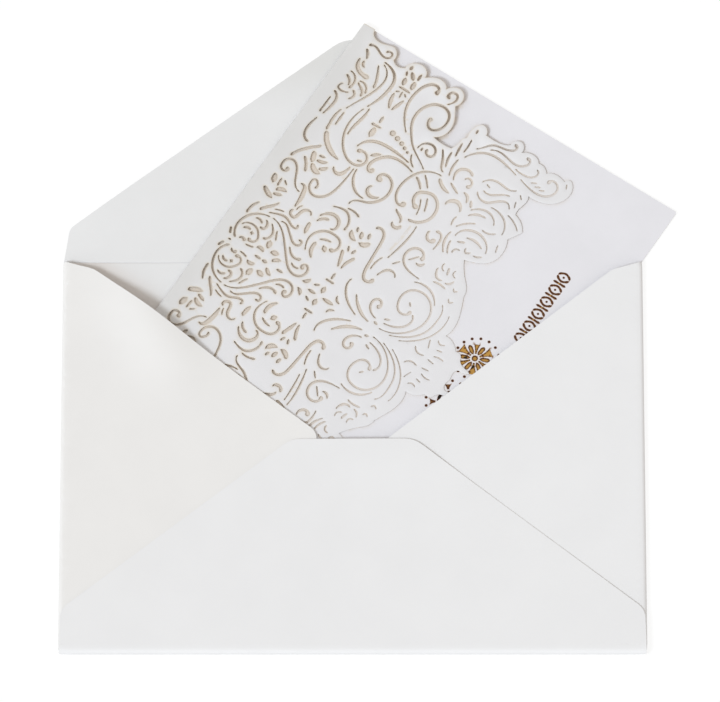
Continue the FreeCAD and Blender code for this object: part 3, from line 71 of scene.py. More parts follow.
RIGHT_TIP = Vector((7.7 * MM, 3.0 * MM))
LEFT_SHOULDER = Vector((-HALF_WIDTH + 9.0 * MM, HALF_HEIGHT - 3.6 * MM))
BOTTOM_TIP_Y = 5.6 * MM          # the bottom flap's free edge


def rounded(corners, step=12.0):
    """A closed outline from corners (x, y, radius), each corner a tangent arc of short steps."""
    outline = []
    for index, (x, y, radius) in enumerate(corners):
        corner = Vector((x, y))
        if radius == 0.0:
            outline.append(corner)
            continue
        before = (Vector(corners[index - 1][:2]) - corner).normalized()
        after = (Vector(corners[(index + 1) % len(corners)][:2]) - corner).normalized()
        half_angle = 0.5 * before.angle(after)
        centre = corner + (before + after).normalized() * (radius / math.sin(half_angle))
        start = corner + before * (radius / math.tan(half_angle)) - centre
        finish = corner + after * (radius / math.tan(half_angle)) - centre
        turn = math.atan2(start.x * finish.y - start.y * finish.x, start.dot(finish))
        steps = max(2, math.ceil(abs(math.degrees(turn)) / step))
        for number in range(steps + 1):
            angle = turn * number / steps
            spoke = Vector((start.x * math.cos(angle) - start.y * math.sin(angle),
                            start.x * math.sin(angle) + start.y * math.cos(angle)))
            outline.append(centre + spoke)
    return outline


def divided(outline, longest):
    """The same closed outline with its long edges cut into shorter ones."""
    points = []
    for index, point in enumerate(outline):
        following = outline[(index + 1) % len(outline)]
        parts = max(1, math.ceil((following - point).length / longest))
        points += [point.lerp(following, part / parts) for part in range(parts)]
    return points


def tree_of(points):
    """A search tree that finds the nearest of some flat points."""
    tree = kdtree.KDTree(len(points))
    for index, point in enumerate(points):
        tree.insert(point.to_3d(), index)
    tree.balance()
    return tree


def clear_of(points, loops, clearance):
    """The points that keep a clearance from every loop's corners."""
    tree = tree_of([corner for loop in loops for corner in loop])
    return [point for point in points if tree.find(point.to_3d())[2] > clearance]


def hexagonal(low, high, pitch):
    """Points of a triangular lattice over a rectangle."""
    points = []
    row_height = pitch * math.sqrt(0.75)
    for row in range(int((high[1] - low[1]) / row_height) + 1):
        shift = 0.5 * pitch * (row % 2)
        for column in range(int((high[0] - low[0]) / pitch) + 1):
            points.append(Vector((low[0] + column * pitch + shift, low[1] + row * row_height)))
    return points


def encloses(starts, ends, point):
    """Whether closed loops, given as their edges' two ends, have a point inside them."""
    crosses = (starts[:, 1] > point.y) != (ends[:, 1] > point.y)
    a, b = starts[crosses], ends[crosses]
    at_x = a[:, 0] + (point.y - a[:, 1]) / (b[:, 1] - a[:, 1]) * (b[:, 0] - a[:, 0])
    return np.count_nonzero(at_x > point.x) % 2 == 1


def filled(loops, inner_points):
    """Corners and triangles of the area between closed loops, with inner points as corners too."""
    corners = []
    rims = []
    for loop in loops:
        first = len(corners)
        corners += loop
        rims += [(first + number, first + (number + 1) % len(loop)) for number in range(len(loop))]
    spots, _, faces, sources, _, _ = delaunay_2d_cdt(corners + inner_points, rims, [], 0, 1e-9, True)
    place_of = {source: index for index, group in enumerate(sources) for source in group}
    walls = {frozenset((place_of[a], place_of[b])) for a, b in rims}
    starts, ends = (np.array([corners[rim[end]][:] for rim in rims]) for end in (0, 1))
    neighbours = {}
    for number, face in enumerate(faces):
        for a, b in zip(face, face[1:] + face[:1]):
            neighbours.setdefault(frozenset((a, b)), []).append(number)
    kept = []
    seen = [False] * len(faces)
    for seed in range(len(faces)):
        if seen[seed]:
            continue
        seen[seed] = True
        region = [seed]
        for number in region:
            face = faces[number]
            for a, b in zip(face, face[1:] + face[:1]):
                edge = frozenset((a, b))
                if edge in walls:
                    continue
                for other in neighbours[edge]:
                    if not seen[other]:
                        seen[other] = True
                        region.append(other)
        middle = sum((spots[corner] for corner in faces[seed]), Vector((0.0, 0.0))) / 3.0
        if encloses(starts, ends, middle):
            kept += [faces[number] for number in region]
    used = sorted({corner for face in kept for corner in face})
    renumbered = {corner: index for index, corner in enumerate(used)}
    triangles = [[renumbered[corner] for corner in face] for face in kept]
    return [spots[corner] for corner in used], triangles


def smooth_step(low, high, value):
    share = min(1.0, max(0.0, (value - low) / (high - low)))
    return share * share * (3.0 - 2.0 * share)


def bell(offset, width):
    return math.exp(-(offset / width) ** 2)


def ripple(x, y, wave, height, seed):
    """Gentle unevenness of paper that has been handled."""
    return height * noise.noise(Vector((x / wave, y / wave, seed)))


def rolled(past, radius):
    """How far out and how far up paper has come round a fold, a distance past the fold's start."""
    angle = past / radius
    return radius * math.sin(angle), radius * (1.0 - math.cos(angle))


SIDE_SINK = 0.40 * MM            # a side flap sinks a little from its fold to its point
BELLY_RISE = 3.4 * MM
BELLY_X = -66.0 * MM
BELLY_SPREAD = 15.0 * MM


def flap_height(side, x, y):
    """Height of a side flap's outer face; the left one bellies up along its free edge."""
    inward = (FOLD_X - side * x) / FOLD_X
    level = 2.0 * SIDE_RADIUS - SIDE_SINK * smooth_step(0.1, 0.7, inward)
    level += ripple(x, y, 46.0 * MM, 0.10 * MM * smooth_step(0.0, 0.2, inward), 3.0 + side)
    if side < 0:
        along = (LEFT_TIP - LEFT_SHOULDER).normalized()
        from_edge = abs((x - LEFT_SHOULDER.x) * along.y - (y - LEFT_SHOULDER.y) * along.x)
        level += BELLY_RISE * bell(x - BELLY_X, BELLY_SPREAD) * bell(from_edge, BELLY_SPREAD)
    return level


BOTTOM_SINK = 0.56 * MM
LIP_RISE = 0.38 * MM             # the bottom flap's free edge stands off a little here
LIP_X = 15.0 * MM
LIP_SPREAD = 20.0 * MM


def bottom_height(x, y):
    """Height of the bottom flap's outer face, over the two side flaps."""
    up = (y + FOLD_Y) / (FOLD_Y + BOTTOM_TIP_Y)
    level = 2.0 * BOTTOM_RADIUS - BOTTOM_SINK * smooth_step(0.0, 0.9, up)
    level += LIP_RISE * smooth_step(0.72, 0.95, up) * bell(x - LIP_X, LIP_SPREAD)
    return level + ripple(x, y, 52.0 * MM, 0.08 * MM * smooth_step(0.0, 0.4, up), 9.0)


OPEN_FLAP_RISE = 0.9 * MM        # the open flap lifts off the table beyond its crease
CREASE_RISE = 0.16 * MM
CREASE_WIDTH = 0.3 * MM


def folded_envelope(flat):
    """Where a point of the flat blank lies once the envelope is folded: its outer face."""
    x, y = flat
    side = 1.0 if x > 0.0 else -1.0
    past_side = abs(x) - FOLD_X
    past_bottom = -FOLD_Y - y
    if past_side > 0.0 and -FOLD_Y + 0.1 * MM < y < FOLD_END + 0.1 * MM:
        if past_side < SIDE_WRAP:
            out, level = rolled(past_side, SIDE_RADIUS)
            return Vector((side * (FOLD_X + out), y, level))
        x = side * (FOLD_X - (past_side - SIDE_WRAP))
        return Vector((x, y, flap_height(side, x, y)))
    if past_bottom > 0.0:
        if past_bottom < BOTTOM_WRAP:
            out, level = rolled(past_bottom, BOTTOM_RADIUS)
            return Vector((x, -FOLD_Y - out, level))
        y = -FOLD_Y + past_bottom - BOTTOM_WRAP
        return Vector((x, y, bottom_height(x, y)))
    beside_card = float((FOLD_TOP_END[:2] - (x, y)) @ ACROSS)     # the card holds the paper under it flat
    free = smooth_step(0.0, 28.0 * MM, beside_card)
    off_crease = abs(y - HALF_HEIGHT)
    near_card = smooth_step(0.0, 12.0 * MM, beside_card)
    level = OPEN_FLAP_RISE * free * smooth_step(0.0, 30.0 * MM, y - HALF_HEIGHT)
    level += CREASE_RISE * near_card * smooth_step(0.0, CREASE_WIDTH, off_crease)
    level += abs(ripple(x, y, 60.0 * MM, 0.5 * MM, 21.0)) * free * smooth_step(0.0, 25.0 * MM, off_crease)
    return Vector((x, y, level))


EDGE_PITCH = 1.5 * MM            # the mesh's spacing along the paper's edges


def envelope_blank():
    """The die-cut outline of the flat blank, as a closed list of points."""
    wrap_x = FOLD_X + SIDE_WRAP
    wrap_y = FOLD_Y + BOTTOM_WRAP
    halves = []      # each from the bottom flap's free edge, round the side flap, to the open flap
    for side, tip, tip_radius in ((1.0, RIGHT_TIP, 3.0 * MM), (-1.0, LEFT_TIP, 5.0 * MM)):
        halves.append([
            (20.0 * MM, -wrap_y - FOLD_Y - BOTTOM_TIP_Y, 9.0 * MM),
            (HALF_WIDTH - 0.6 * MM, -wrap_y - FOLD_Y + HALF_HEIGHT - 15.0 * MM, 6.0 * MM),
            (HALF_WIDTH - 0.3 * MM, -wrap_y, 0.0),
            (HALF_WIDTH - 0.3 * MM, -FOLD_Y, 0.0),
            (FOLD_X, -FOLD_Y, 0.0),
            (FOLD_X, -FOLD_Y + 0.3 * MM, 0.0),
            (wrap_x, -FOLD_Y + 0.3 * MM, 0.0),
            (wrap_x + 3.0 * MM, -FOLD_Y + 6.0 * MM, 0.0),
            (wrap_x + FOLD_X - side * tip.x, tip.y, tip_radius),
            (wrap_x + FOLD_X - HALF_WIDTH + 10.0 * MM, HALF_HEIGHT - 3.4 * MM, 8.0 * MM),
            (wrap_x, FOLD_END - 0.5 * MM, 0.0),
            (FOLD_X, FOLD_END, 0.0),
            (FOLD_X, HALF_HEIGHT, 0.0),
            (HALF_WIDTH - 0.2 * MM, HALF_HEIGHT + 0.1 * MM, 0.0),
            (HALF_WIDTH - 2.0 * MM, HALF_HEIGHT + 12.0 * MM, 4.0 * MM),
        ])
    left = [(-x, y, radius) for x, y, radius in halves[1][::-1]]
    point = [(0.0, OPEN_FLAP_TIP + 2.5 * MM, 10.0 * MM)]
    return divided(rounded(halves[0] + point + left), EDGE_PITCH)


BLANK_PITCH = 2.3 * MM           # the mesh's spacing over the flat paper, along folds and at the crease
FOLD_PITCH = 2.2 * MM
CREASE_PITCH = 2.0 * MM
CREASE_ROWS = (-1.5, -0.8, -0.3, -0.12, 0.0, 0.12, 0.3, 0.8, 1.5)   # off the crease, mm
CREASE_GUARD = 2.2 * MM
WRAP_ROWS = 9                    # rows of points round a fold
WRAP_GUARD = 0.2 * MM
EDGE_CLEARANCE = 0.8 * MM
blank = envelope_blank()
low = [min(point[axis] for point in blank) for axis in (0, 1)]
high = [max(point[axis] for point in blank) for axis in (0, 1)]
spread = [point for point in hexagonal(low, high, BLANK_PITCH)
          if not -WRAP_GUARD < abs(point.x) - FOLD_X < SIDE_WRAP + WRAP_GUARD
          and not -WRAP_GUARD < -FOLD_Y - point.y < BOTTOM_WRAP + WRAP_GUARD
          and not abs(point.y - HALF_HEIGHT) < CREASE_GUARD]
for row in range(WRAP_ROWS):
    share = row / (WRAP_ROWS - 1)
    for number in range(int(2.0 * FOLD_END / FOLD_PITCH)):
        along = -FOLD_END + (number + 0.5) * FOLD_PITCH
        spread += [Vector((side * (FOLD_X + SIDE_WRAP * share), along)) for side in (-1.0, 1.0)]
    for number in range(int(2.0 * HALF_WIDTH / FOLD_PITCH) - 2):
        spread.append(Vector((-HALF_WIDTH + 3.5 * MM + number * FOLD_PITCH, -FOLD_Y - BOTTOM_WRAP * share)))
for off_crease in CREASE_ROWS:
    for number in range(int(2.0 * HALF_WIDTH / CREASE_PITCH)):
        spread.append(Vector((-HALF_WIDTH + (number + 0.5) * CREASE_PITCH, HALF_HEIGHT + off_crease * MM)))
spread = clear_of(spread, [blank], EDGE_CLEARANCE)
flat_corners, triangles = filled([blank], spread)


def paper_piece(name, corners, triangles, thickness, materials):
    """A sheet of paper: its outer face, thickened inwards, with a face, an inside and a cut edge."""
    mesh = bpy.data.meshes.new(name)
    mesh.from_pydata(corners, [], triangles)
    mesh.polygons.foreach_set("use_smooth", [True] * len(mesh.polygons))
    edge_of_corner = np.zeros(len(mesh.loops), dtype=np.int32)
    mesh.loops.foreach_get("edge_index", edge_of_corner)
    faces_at_edge = np.bincount(edge_of_corner, minlength=len(mesh.edges))
    mesh.edges.foreach_set("use_edge_sharp", faces_at_edge == 1)
    for material in materials:
        mesh.materials.append(material)
    piece = bpy.data.objects.new(name, mesh)
    bpy.context.scene.collection.objects.link(piece)
    thicken = piece.modifiers.new("thickness", "SOLIDIFY")
    thicken.thickness = thickness
    thicken.offset = -1.0
    thicken.material_offset = 1
    thicken.material_offset_rim = 2
    return piece


def keep_values(piece, **masks):
    """Keep named values, one for each point of a piece's mesh, for its materials to read."""
    for name, values in masks.items():
        kept = piece.data.attributes.new(name, "FLOAT", "POINT")
        kept.data.foreach_set("value", values)


def node(tree, kind, **settings):
    made = tree.nodes.new(kind)
    for name, value in settings.items():
        setattr(made, name, value)
    return made


def new_group(name, inputs, outputs):
    """An empty shader node group with float inputs and the named outputs."""
    group = bpy.data.node_groups.new(name, "ShaderNodeTree")
    for label, value in inputs:
        socket = group.interface.new_socket(name=label, in_out="INPUT", socket_type="NodeSocketFloat")
        socket.default_value = value
    for label, kind in outputs:
        group.interface.new_socket(name=label, in_out="OUTPUT", socket_type=kind)
    return group, node(group, "NodeGroupInput"), node(group, "NodeGroupOutput")


def fibre_group():
    """Paper's own surface: felted fibres as a height, and a faint cloudiness of its tone."""
    group, given, result = new_group("paper fibres", [("Fineness", 1.0)],
                                     [("Height", "NodeSocketFloat"), ("Cloud", "NodeSocketFloat")])
    place = node(group, "ShaderNodeTexCoord")
    sized = node(group, "ShaderNodeVectorMath", operation="SCALE")
    fibres = node(group, "ShaderNodeTexNoise")
    fibres.inputs["Scale"].default_value = 2600.0
    fibres.inputs["Detail"].default_value = 4.0
    fibres.inputs["Roughness"].default_value = 0.62
    fibres.inputs["Distortion"].default_value = 1.2
    felt = node(group, "ShaderNodeTexNoise")
    felt.inputs["Scale"].default_value = 420.0
    felt.inputs["Detail"].default_value = 3.0
    cloud = node(group, "ShaderNodeTexNoise")
    cloud.inputs["Scale"].default_value = 46.0
    cloud.inputs["Detail"].default_value = 5.0
    cloud.inputs["Roughness"].default_value = 0.6
    both = node(group, "ShaderNodeMath", operation="MULTIPLY_ADD")
    both.inputs[1].default_value = 0.7
    group.links.new(place.outputs["Object"], sized.inputs[0])
    group.links.new(given.outputs["Fineness"], sized.inputs["Scale"])
    for texture in (fibres, felt, cloud):
        group.links.new(sized.outputs[0], texture.inputs["Vector"])
    group.links.new(felt.outputs["Fac"], both.inputs[0])
    group.links.new(fibres.outputs["Fac"], both.inputs[2])
    group.links.new(both.outputs[0], result.inputs["Height"])
    group.links.new(cloud.outputs["Fac"], result.inputs["Cloud"])
    return group


PAPER_FIBRES = fibre_group()


def paper_material(name, light, dark, roughness, fibre_depth, fineness=1.0,
                   follows="Cloud", dark_until=0.36, light_from=0.64):
    """A paper with fibres in relief, whose tone goes from dark to light with its clouds or fibres."""
    material = bpy.data.materials.new(name)
    material.use_nodes = True
    tree = material.node_tree
    shader = tree.nodes["Principled BSDF"]
    shader.inputs["Roughness"].default_value = roughness
    shader.inputs["Specular IOR Level"].default_value = 0.3
    fibres = node(tree, "ShaderNodeGroup", node_tree=PAPER_FIBRES)
    fibres.inputs["Fineness"].default_value = fineness
    tone = node(tree, "ShaderNodeValToRGB")
    tone.color_ramp.elements[0].position = dark_until
    tone.color_ramp.elements[0].color = (*dark, 1.0)
    tone.color_ramp.elements[1].position = light_from
    tone.color_ramp.elements[1].color = (*light, 1.0)
    relief = node(tree, "ShaderNodeBump")
    relief.inputs["Distance"].default_value = fibre_depth
    relief.inputs["Strength"].default_value = 1.0
    tree.links.new(fibres.outputs[follows], tone.inputs["Fac"])
    tree.links.new(tone.outputs["Color"], shader.inputs["Base Color"])
    tree.links.new(fibres.outputs["Height"], relief.inputs["Height"])
    tree.links.new(relief.outputs["Normal"], shader.inputs["Normal"])
    return material


def tinted(material, mask, tint, low, high):
    """Multiply a paper's tone by a tint, where a value kept in its mesh goes from low to high."""
    tree = material.node_tree
    shader = tree.nodes["Principled BSDF"]
    held = node(tree, "ShaderNodeAttribute", attribute_name=mask)
    share = node(tree, "ShaderNodeMapRange", interpolation_type="SMOOTHSTEP")
    share.inputs["From Min"].default_value = low
    share.inputs["From Max"].default_value = high
    stain = node(tree, "ShaderNodeMix", data_type="RGBA", blend_type="MULTIPLY")
    stain.inputs["B"].default_value = (*tint, 1.0)
    tone = shader.inputs["Base Color"].links[0].from_socket
    tree.links.new(held.outputs["Fac"], share.inputs["Value"])
    tree.links.new(share.outputs["Result"], stain.inputs["Factor"])
    tree.links.new(tone, stain.inputs["A"])
    tree.links.new(stain.outputs["Result"], shader.inputs["Base Color"])


envelope_face = paper_material("envelope outside", (0.852, 0.850, 0.860), (0.836, 0.834, 0.844),
                               0.72, 0.012 * MM)
envelope_inside = paper_material("envelope inside", (0.820, 0.820, 0.826), (0.802, 0.802, 0.808),
                                 0.78, 0.016 * MM)
# Painted shade: the pocket's panel along the left flap's edge is warm and darker, and the left flap has a
# warm tone, as bounced shade.
tinted(envelope_face, "warmth", (1.0, 0.988, 0.965), 0.0, 1.0)
tinted(envelope_inside, "warmth", (0.91, 0.865, 0.83), 0.0, 1.0)
# Painted shade: a darker line along the crease, where the fold shades itself and its fibres are crushed.
tinted(envelope_inside, "score", (0.88, 0.88, 0.89), 0.0, 1.0)
# Painted shade: the open flap greys towards its tip.
tinted(envelope_inside, "dulled", (0.915, 0.912, 0.895), 0.0, 1.0)
envelope_edge = paper_material("envelope cut edge", (0.80, 0.79, 0.77), (0.72, 0.71, 0.69),
                               0.85, 0.02 * MM)
envelope = paper_piece("envelope_paper_sheet", [folded_envelope(point) for point in flat_corners],
                       [face[::-1] for face in triangles], ENVELOPE_PAPER,
                       [envelope_face, envelope_inside, envelope_edge])
SCORE_WIDTH = 0.35 * MM          # painted shade and crushed fibres along the crease's scored line
DULL_TIP = 32.0 * MM             # painted shade: the open flap greys towards its tip
WARM_REACH = 7.0 * MM            # painted warm shade on the pocket's panel beside the left flap, and a painted warm tone on that flap
score, warmth, dulled = (np.zeros(len(flat_corners), dtype=np.float32) for _ in range(3))
flap_start = Vector((-HALF_WIDTH + 10.0 * MM, HALF_HEIGHT - 3.4 * MM))
along_flap = (LEFT_TIP - flap_start).normalized()
for index, point in enumerate(flat_corners):
    score[index] = max(0.0, 1.0 - abs(point.y - HALF_HEIGHT) / SCORE_WIDTH)
    dulled[index] = smooth_step(OPEN_FLAP_TIP - DULL_TIP, OPEN_FLAP_TIP, point.y)
    beside_flap = bell(abs(along_flap.cross(point - flap_start)), WARM_REACH)
    if -FOLD_Y < point.y < HALF_HEIGHT:
        warmth[index] = beside_flap if abs(point.x) < FOLD_X else float(point.x < 0.0)
keep_values(envelope, score=score, warmth=warmth, dulled=dulled)
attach(envelope, "root")
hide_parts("envelope")

# ---------------------------------------------------------------- the lace card
# One sheet of pearl card folded once: a plain leaf below with a laser-cut rosette, star and
# border, and a leaf of laser-cut lace over it. The laser leaves its cut walls tan.
CARD_PAPER = 0.30 * MM
FOLD_RADIUS = 0.75 * MM
FOLD_WRAP = math.pi * FOLD_RADIUS
BASE_BOTTOM = float(card_points[:, 2].min())
BASE_TOP = BASE_BOTTOM + CARD_PAPER
LACE_TOP = BASE_BOTTOM + 2.0 * FOLD_RADIUS


def off_fold_and_down(points):
    """Points of the frame in the card's own directions: off its fold, and down its length."""
    offsets = points[:, :2] - FOLD_TOP_END[:2]
    return np.column_stack((offsets @ ACROSS, offsets @ DOWN))


card_flat = off_fold_and_down(card_points)


def rims_of(lowest, highest):
    """Boundary loops of the card's upward faces between two levels, as points (off the fold, down)."""
    directed = set()
    for polygon in card_mesh.polygons:
        corners = list(polygon.vertices)
        off_fold = card_flat[corners, 0].mean()
        if polygon.normal.z > 0.99 and lowest < polygon.center.z < highest and off_fold > FOLD_RADIUS:
            directed.update(zip(corners, corners[1:] + corners[:1]))
    following = {}
    for a, b in sorted(directed):
        if (b, a) not in directed:
            following.setdefault(a, []).append(b)
    loops = []
    while following:
        start = next(iter(following))
        loop = [start]
        point = start
        while True:
            ways = following[point]
            point = ways.pop()
            if not ways:
                del following[loop[-1]]
            if point == start:
                break
            loop.append(point)
        loops.append([Vector(card_flat[corner]) for corner in loop])
    return sorted(loops, key=lambda loop: min(point.y for point in loop) - max(point.y for point in loop))


def thinned(loop, tolerance, longest):
    """A closed loop with the points left out that a straight edge passes closely enough."""
    points = np.array(loop)
    far = int(np.argmax(((points - points[0]) ** 2).sum(axis=1)))
    keep = {0, far}
    spans = [(0, far), (far, len(points))]
    closed = np.vstack([points, points[:1]])
    while spans:
        first, last = spans.pop()
        if last - first < 2:
            continue
        chord = closed[last] - closed[first]
        length = max(1e-9, float(np.hypot(*chord)))
        inner = closed[first + 1:last] - closed[first]
        off = np.abs(inner[:, 0] * chord[1] - inner[:, 1] * chord[0]) / length
        worst = int(np.argmax(off))
        if off[worst] < tolerance:
            if length < longest:
                continue
            along = inner @ chord / length
            worst = int(np.argmin(np.abs(along - 0.5 * length)))
        middle = first + 1 + worst
        keep.add(middle)
        spans += [(first, middle), (middle, last)]
    return [loop[index] for index in sorted(keep)]


def opened_at_seam(loop):
    """The outer loop as an open run from the card's top edge to its bottom edge, off the fold."""
    near_fold = [number for number in range(len(loop)) if loop[number].x < 1.2 * FOLD_RADIUS]
    seam = max(near_fold, key=lambda number: abs(loop[number].y - loop[number - 1].y))
    run = loop[seam:] + loop[:seam]
    run[0].x = FOLD_RADIUS
    run[-1].x = FOLD_RADIUS
    return run if run[0].y < run[-1].y else run[::-1]


LACE_LEVEL = BASE_BOTTOM + FOLD_RADIUS
lace_rims = rims_of(LACE_LEVEL, 1.0)
base_rims = rims_of(BASE_BOTTOM, LACE_LEVEL)
lace_edge = opened_at_seam(lace_rims[0])
base_edge = opened_at_seam(base_rims[0])[::-1]
LACE_REACH = max(point.x for point in lace_edge)


def on_lace(point):
    """A point of the lace leaf in the flat layout, where the fold runs along x = 0."""
    return Vector((-FOLD_WRAP - (point.x - FOLD_RADIUS), point.y))


def on_base(point):
    return Vector((point.x - FOLD_RADIUS, point.y))


RIM_TOLERANCE = 0.012 * MM       # how closely the mesh keeps to the cut rims
LONGEST_CHORD = 0.62 * MM
OUTLINE_PITCH = 0.7 * MM
lace_slots, base_cuts = (
    [thinned([laid(point) for point in loop], RIM_TOLERANCE, LONGEST_CHORD) for loop in rims[1:]]
    for rims, laid in ((lace_rims, on_lace), (base_rims, on_base)))
outline = [on_lace(point) for point in lace_edge] + [on_base(point) for point in base_edge]
outline = divided(thinned(outline, RIM_TOLERANCE, LONGEST_CHORD), OUTLINE_PITCH)
card_loops = [outline] + lace_slots + base_cuts


def beside(loop, distance):
    """Points beside a loop's edges, on the left of its run."""
    points = []
    for a, b in zip(loop, loop[1:] + loop[:1]):
        across = Vector((a.y - b.y, b.x - a.x))
        if across.length > 0.0:
            points.append(a.lerp(b, 0.5) + across.normalized() * distance)
    return points


def spaced(points, pitch):
    """The points with those left out that lie too near an earlier one."""
    taken = {}
    kept = []
    for point in points:
        cell = (int(point.x // pitch), int(point.y // pitch))
        cells = [(cell[0] + i, cell[1] + j) for i in (-1, 0, 1) for j in (-1, 0, 1)]
        around = [other for near in cells for other in taken.get(near, ())]
        if all((point - other).length > pitch for other in around):
            taken.setdefault(cell, []).append(point)
            kept.append(point)
    return kept


LIP_WIDTH = 0.4 * MM             # points beside the lace's rims, which curl
LIP_CLEARANCE = 0.33 * MM
LIP_SPACING = 0.38 * MM
SINGE_WIDTH = 0.28 * MM          # points beside the base leaf's cuts, which are charred
SINGE_CLEARANCE = 0.2 * MM
SINGE_SPACING = 0.3 * MM
RIM_CLEARANCE = 0.5 * MM         # the even fields of points between them
BASE_START = 0.8 * MM
LACE_PITCH = 1.25 * MM
BASE_PITCH = 1.7 * MM
ROLL_PITCH = 1.5 * MM
lips = []
for loop in [outline] + lace_slots:
    for side in (-LIP_WIDTH, LIP_WIDTH):
        lips += [point for point in beside(loop, side) if point.x < -FOLD_WRAP]
lips = spaced(clear_of(lips, card_loops, LIP_CLEARANCE), LIP_SPACING)
singed = [point for loop in base_cuts for side in (-SINGE_WIDTH, SINGE_WIDTH)
          for point in beside(loop, side)]
singed = spaced(clear_of(singed, card_loops, SINGE_CLEARANCE), SINGE_SPACING)
lace_field = hexagonal((-FOLD_WRAP - LACE_REACH, 0.0), (-FOLD_WRAP, CARD_LENGTH), LACE_PITCH)
lace_field = clear_of(clear_of(lace_field, card_loops, RIM_CLEARANCE), [lips], RIM_CLEARANCE)
base_field = hexagonal((BASE_START, 0.0), (max(point.x for point in outline), CARD_LENGTH), BASE_PITCH)
base_field = clear_of(clear_of(base_field, card_loops, RIM_CLEARANCE), [singed], RIM_CLEARANCE)
fold_rows = [Vector((-FOLD_WRAP * row / (WRAP_ROWS - 1), (number + 0.5) * ROLL_PITCH))
             for row in range(WRAP_ROWS) for number in range(int(CARD_LENGTH / ROLL_PITCH))]
fold_rows = clear_of(fold_rows, card_loops, RIM_CLEARANCE)
card_corners, card_triangles = filled(card_loops, lips + singed + lace_field + base_field + fold_rows)

rim_tree = tree_of([corner for loop in card_loops for corner in loop])
cut_tree = tree_of([corner for loop in base_cuts for corner in loop])
edge_run = np.array([point[:] for point in lace_edge])


def under_lace(point):
    """How far inside the lace's free edge a point lies; negative where it lies outside."""
    gap = float(np.sqrt(((edge_run - np.array(point[:])) ** 2).sum(axis=1).min()))
    return gap if encloses(edge_run, np.roll(edge_run, -1, axis=0), point) else -gap


GAP_AT_FOLD = 0.90 * MM          # the fold springs the lace leaf open
EDGE_LIFT = 1.35 * MM            # its free edge stands up most here, at the card's top
EDGE_LIFT_X = 36.0 * MM
EDGE_LIFT_WIDTH = 4.2 * MM


def lace_gap(across, down):
    """Air between the two leaves: open at the fold and settling away from it, but for the free edge."""
    gap = GAP_AT_FOLD - 0.40 * MM * smooth_step(0.0, 12.0 * MM, across)
    gap -= 0.32 * MM * smooth_step(30.0 * MM, 84.0 * MM, across) + 0.14 * MM * bell(down, 50.0 * MM)
    from_edge = abs(under_lace(Vector((across, down))))
    lift = bell(down, 45.0 * MM) * bell(across - EDGE_LIFT_X, 34.0 * MM) * bell(from_edge, EDGE_LIFT_WIDTH)
    return gap + EDGE_LIFT * lift + ripple(across, down, 17.0 * MM, 0.10 * MM, 5.0)


RIM_CURL = 0.09 * MM             # the laser leaves the lace's rims a little rounded down
CURL_WIDTH = 0.42 * MM


def folded_card(flat):
    """Where a point of the flat card lies once it is folded, in the card's own directions."""
    if flat.x >= 0.0:
        level = BASE_BOTTOM + ripple(flat.x, flat.y, 60.0 * MM, 0.05 * MM, 31.0) + 0.03 * MM
        return Vector((FOLD_RADIUS + flat.x, flat.y, level))
    if flat.x > -FOLD_WRAP:
        out, level = rolled(-flat.x, FOLD_RADIUS)
        return Vector((FOLD_RADIUS - out, flat.y, BASE_BOTTOM + level))
    off_fold = FOLD_RADIUS - FOLD_WRAP - flat.x
    level = BASE_TOP + lace_gap(off_fold, flat.y) + CARD_PAPER
    away = rim_tree.find(flat.to_3d())[2]
    level -= RIM_CURL * max(0.0, 1.0 - away / CURL_WIDTH)
    seam = smooth_step(0.0, 6.0 * MM, off_fold - FOLD_RADIUS)
    return Vector((off_fold, flat.y, LACE_TOP + (level - LACE_TOP) * seam))


def in_envelope(point):
    """A point of the card's own directions, laid in the envelope."""
    place = FOLD_TOP_END[:2] + ACROSS * point.x + DOWN * point.y
    return Vector((place[0], place[1], point.z))


pearl_face = paper_material("pearl card outside", (0.808, 0.802, 0.822), (0.786, 0.780, 0.800),
                            0.5, 0.010 * MM, 1.4)
tinted(pearl_face, "near_cut", (0.96, 0.90, 0.80), 0.25, 1.0)
# Painted shade: the lace leaf greys along the card's fold and towards its top edge.
tinted(pearl_face, "rubbed", (0.912, 0.910, 0.882), 0.0, 1.0)
pearl_inside = paper_material("pearl card inside", (0.816, 0.808, 0.846), (0.796, 0.788, 0.824),
                              0.5, 0.010 * MM, 1.4)
# Painted shade: the base leaf's top is warm tan and darker under the lace and just past its free edge; on
# the lace's underside and walls this tint is the laser's smoke.
tinted(pearl_inside, "smoke", (0.92, 0.84, 0.715), 0.0, 1.0)
tinted(pearl_inside, "char", (0.42, 0.24, 0.13), 0.35, 1.0)
burnt_wall = paper_material("laser cut wall", (0.80, 0.78, 0.76), (0.74, 0.72, 0.69), 0.8, 0.02 * MM, 2.0)
tinted(burnt_wall, "smoke", (0.90, 0.76, 0.56), 0.0, 0.5)
tinted(burnt_wall, "char", (0.10, 0.048, 0.035), 0.0, 0.6)
card = paper_piece("lace_card_sheet", [in_envelope(folded_card(point)) for point in card_corners],
                   card_triangles, CARD_PAPER, [pearl_face, pearl_inside, burnt_wall])
CREAM_WIDTH = 0.9 * MM           # the creamy border along a cut
CHAR_WIDTH = 0.4 * MM            # the burnt border round the base leaf's cuts
RUBBED_REACH = 15.0 * MM         # painted shade: the pearl greys along the fold, less so at the top edge
RUBBED_TOP = 20.0 * MM
SCORCH_FADES = (32.0 * MM, 85.0 * MM)      # off the fold: the laser's smoke and the painted shade thin out over this stretch
CLEAN_ACROSS = (50.0 * MM, 75.0 * MM)      # the free edge's rim comes clean far from the fold
CLEAN_DOWN = (40.0 * MM, 62.0 * MM)        # and low down
CLEAN_WIDTH = 0.9 * MM
SMOKE_ENDS = (-1.4 * MM, 0.3 * MM)         # painted shade on the base leaf ends round the lace's free edge
near_cut, smoke, char, rubbed = (np.zeros(len(card_corners), dtype=np.float32) for _ in range(4))
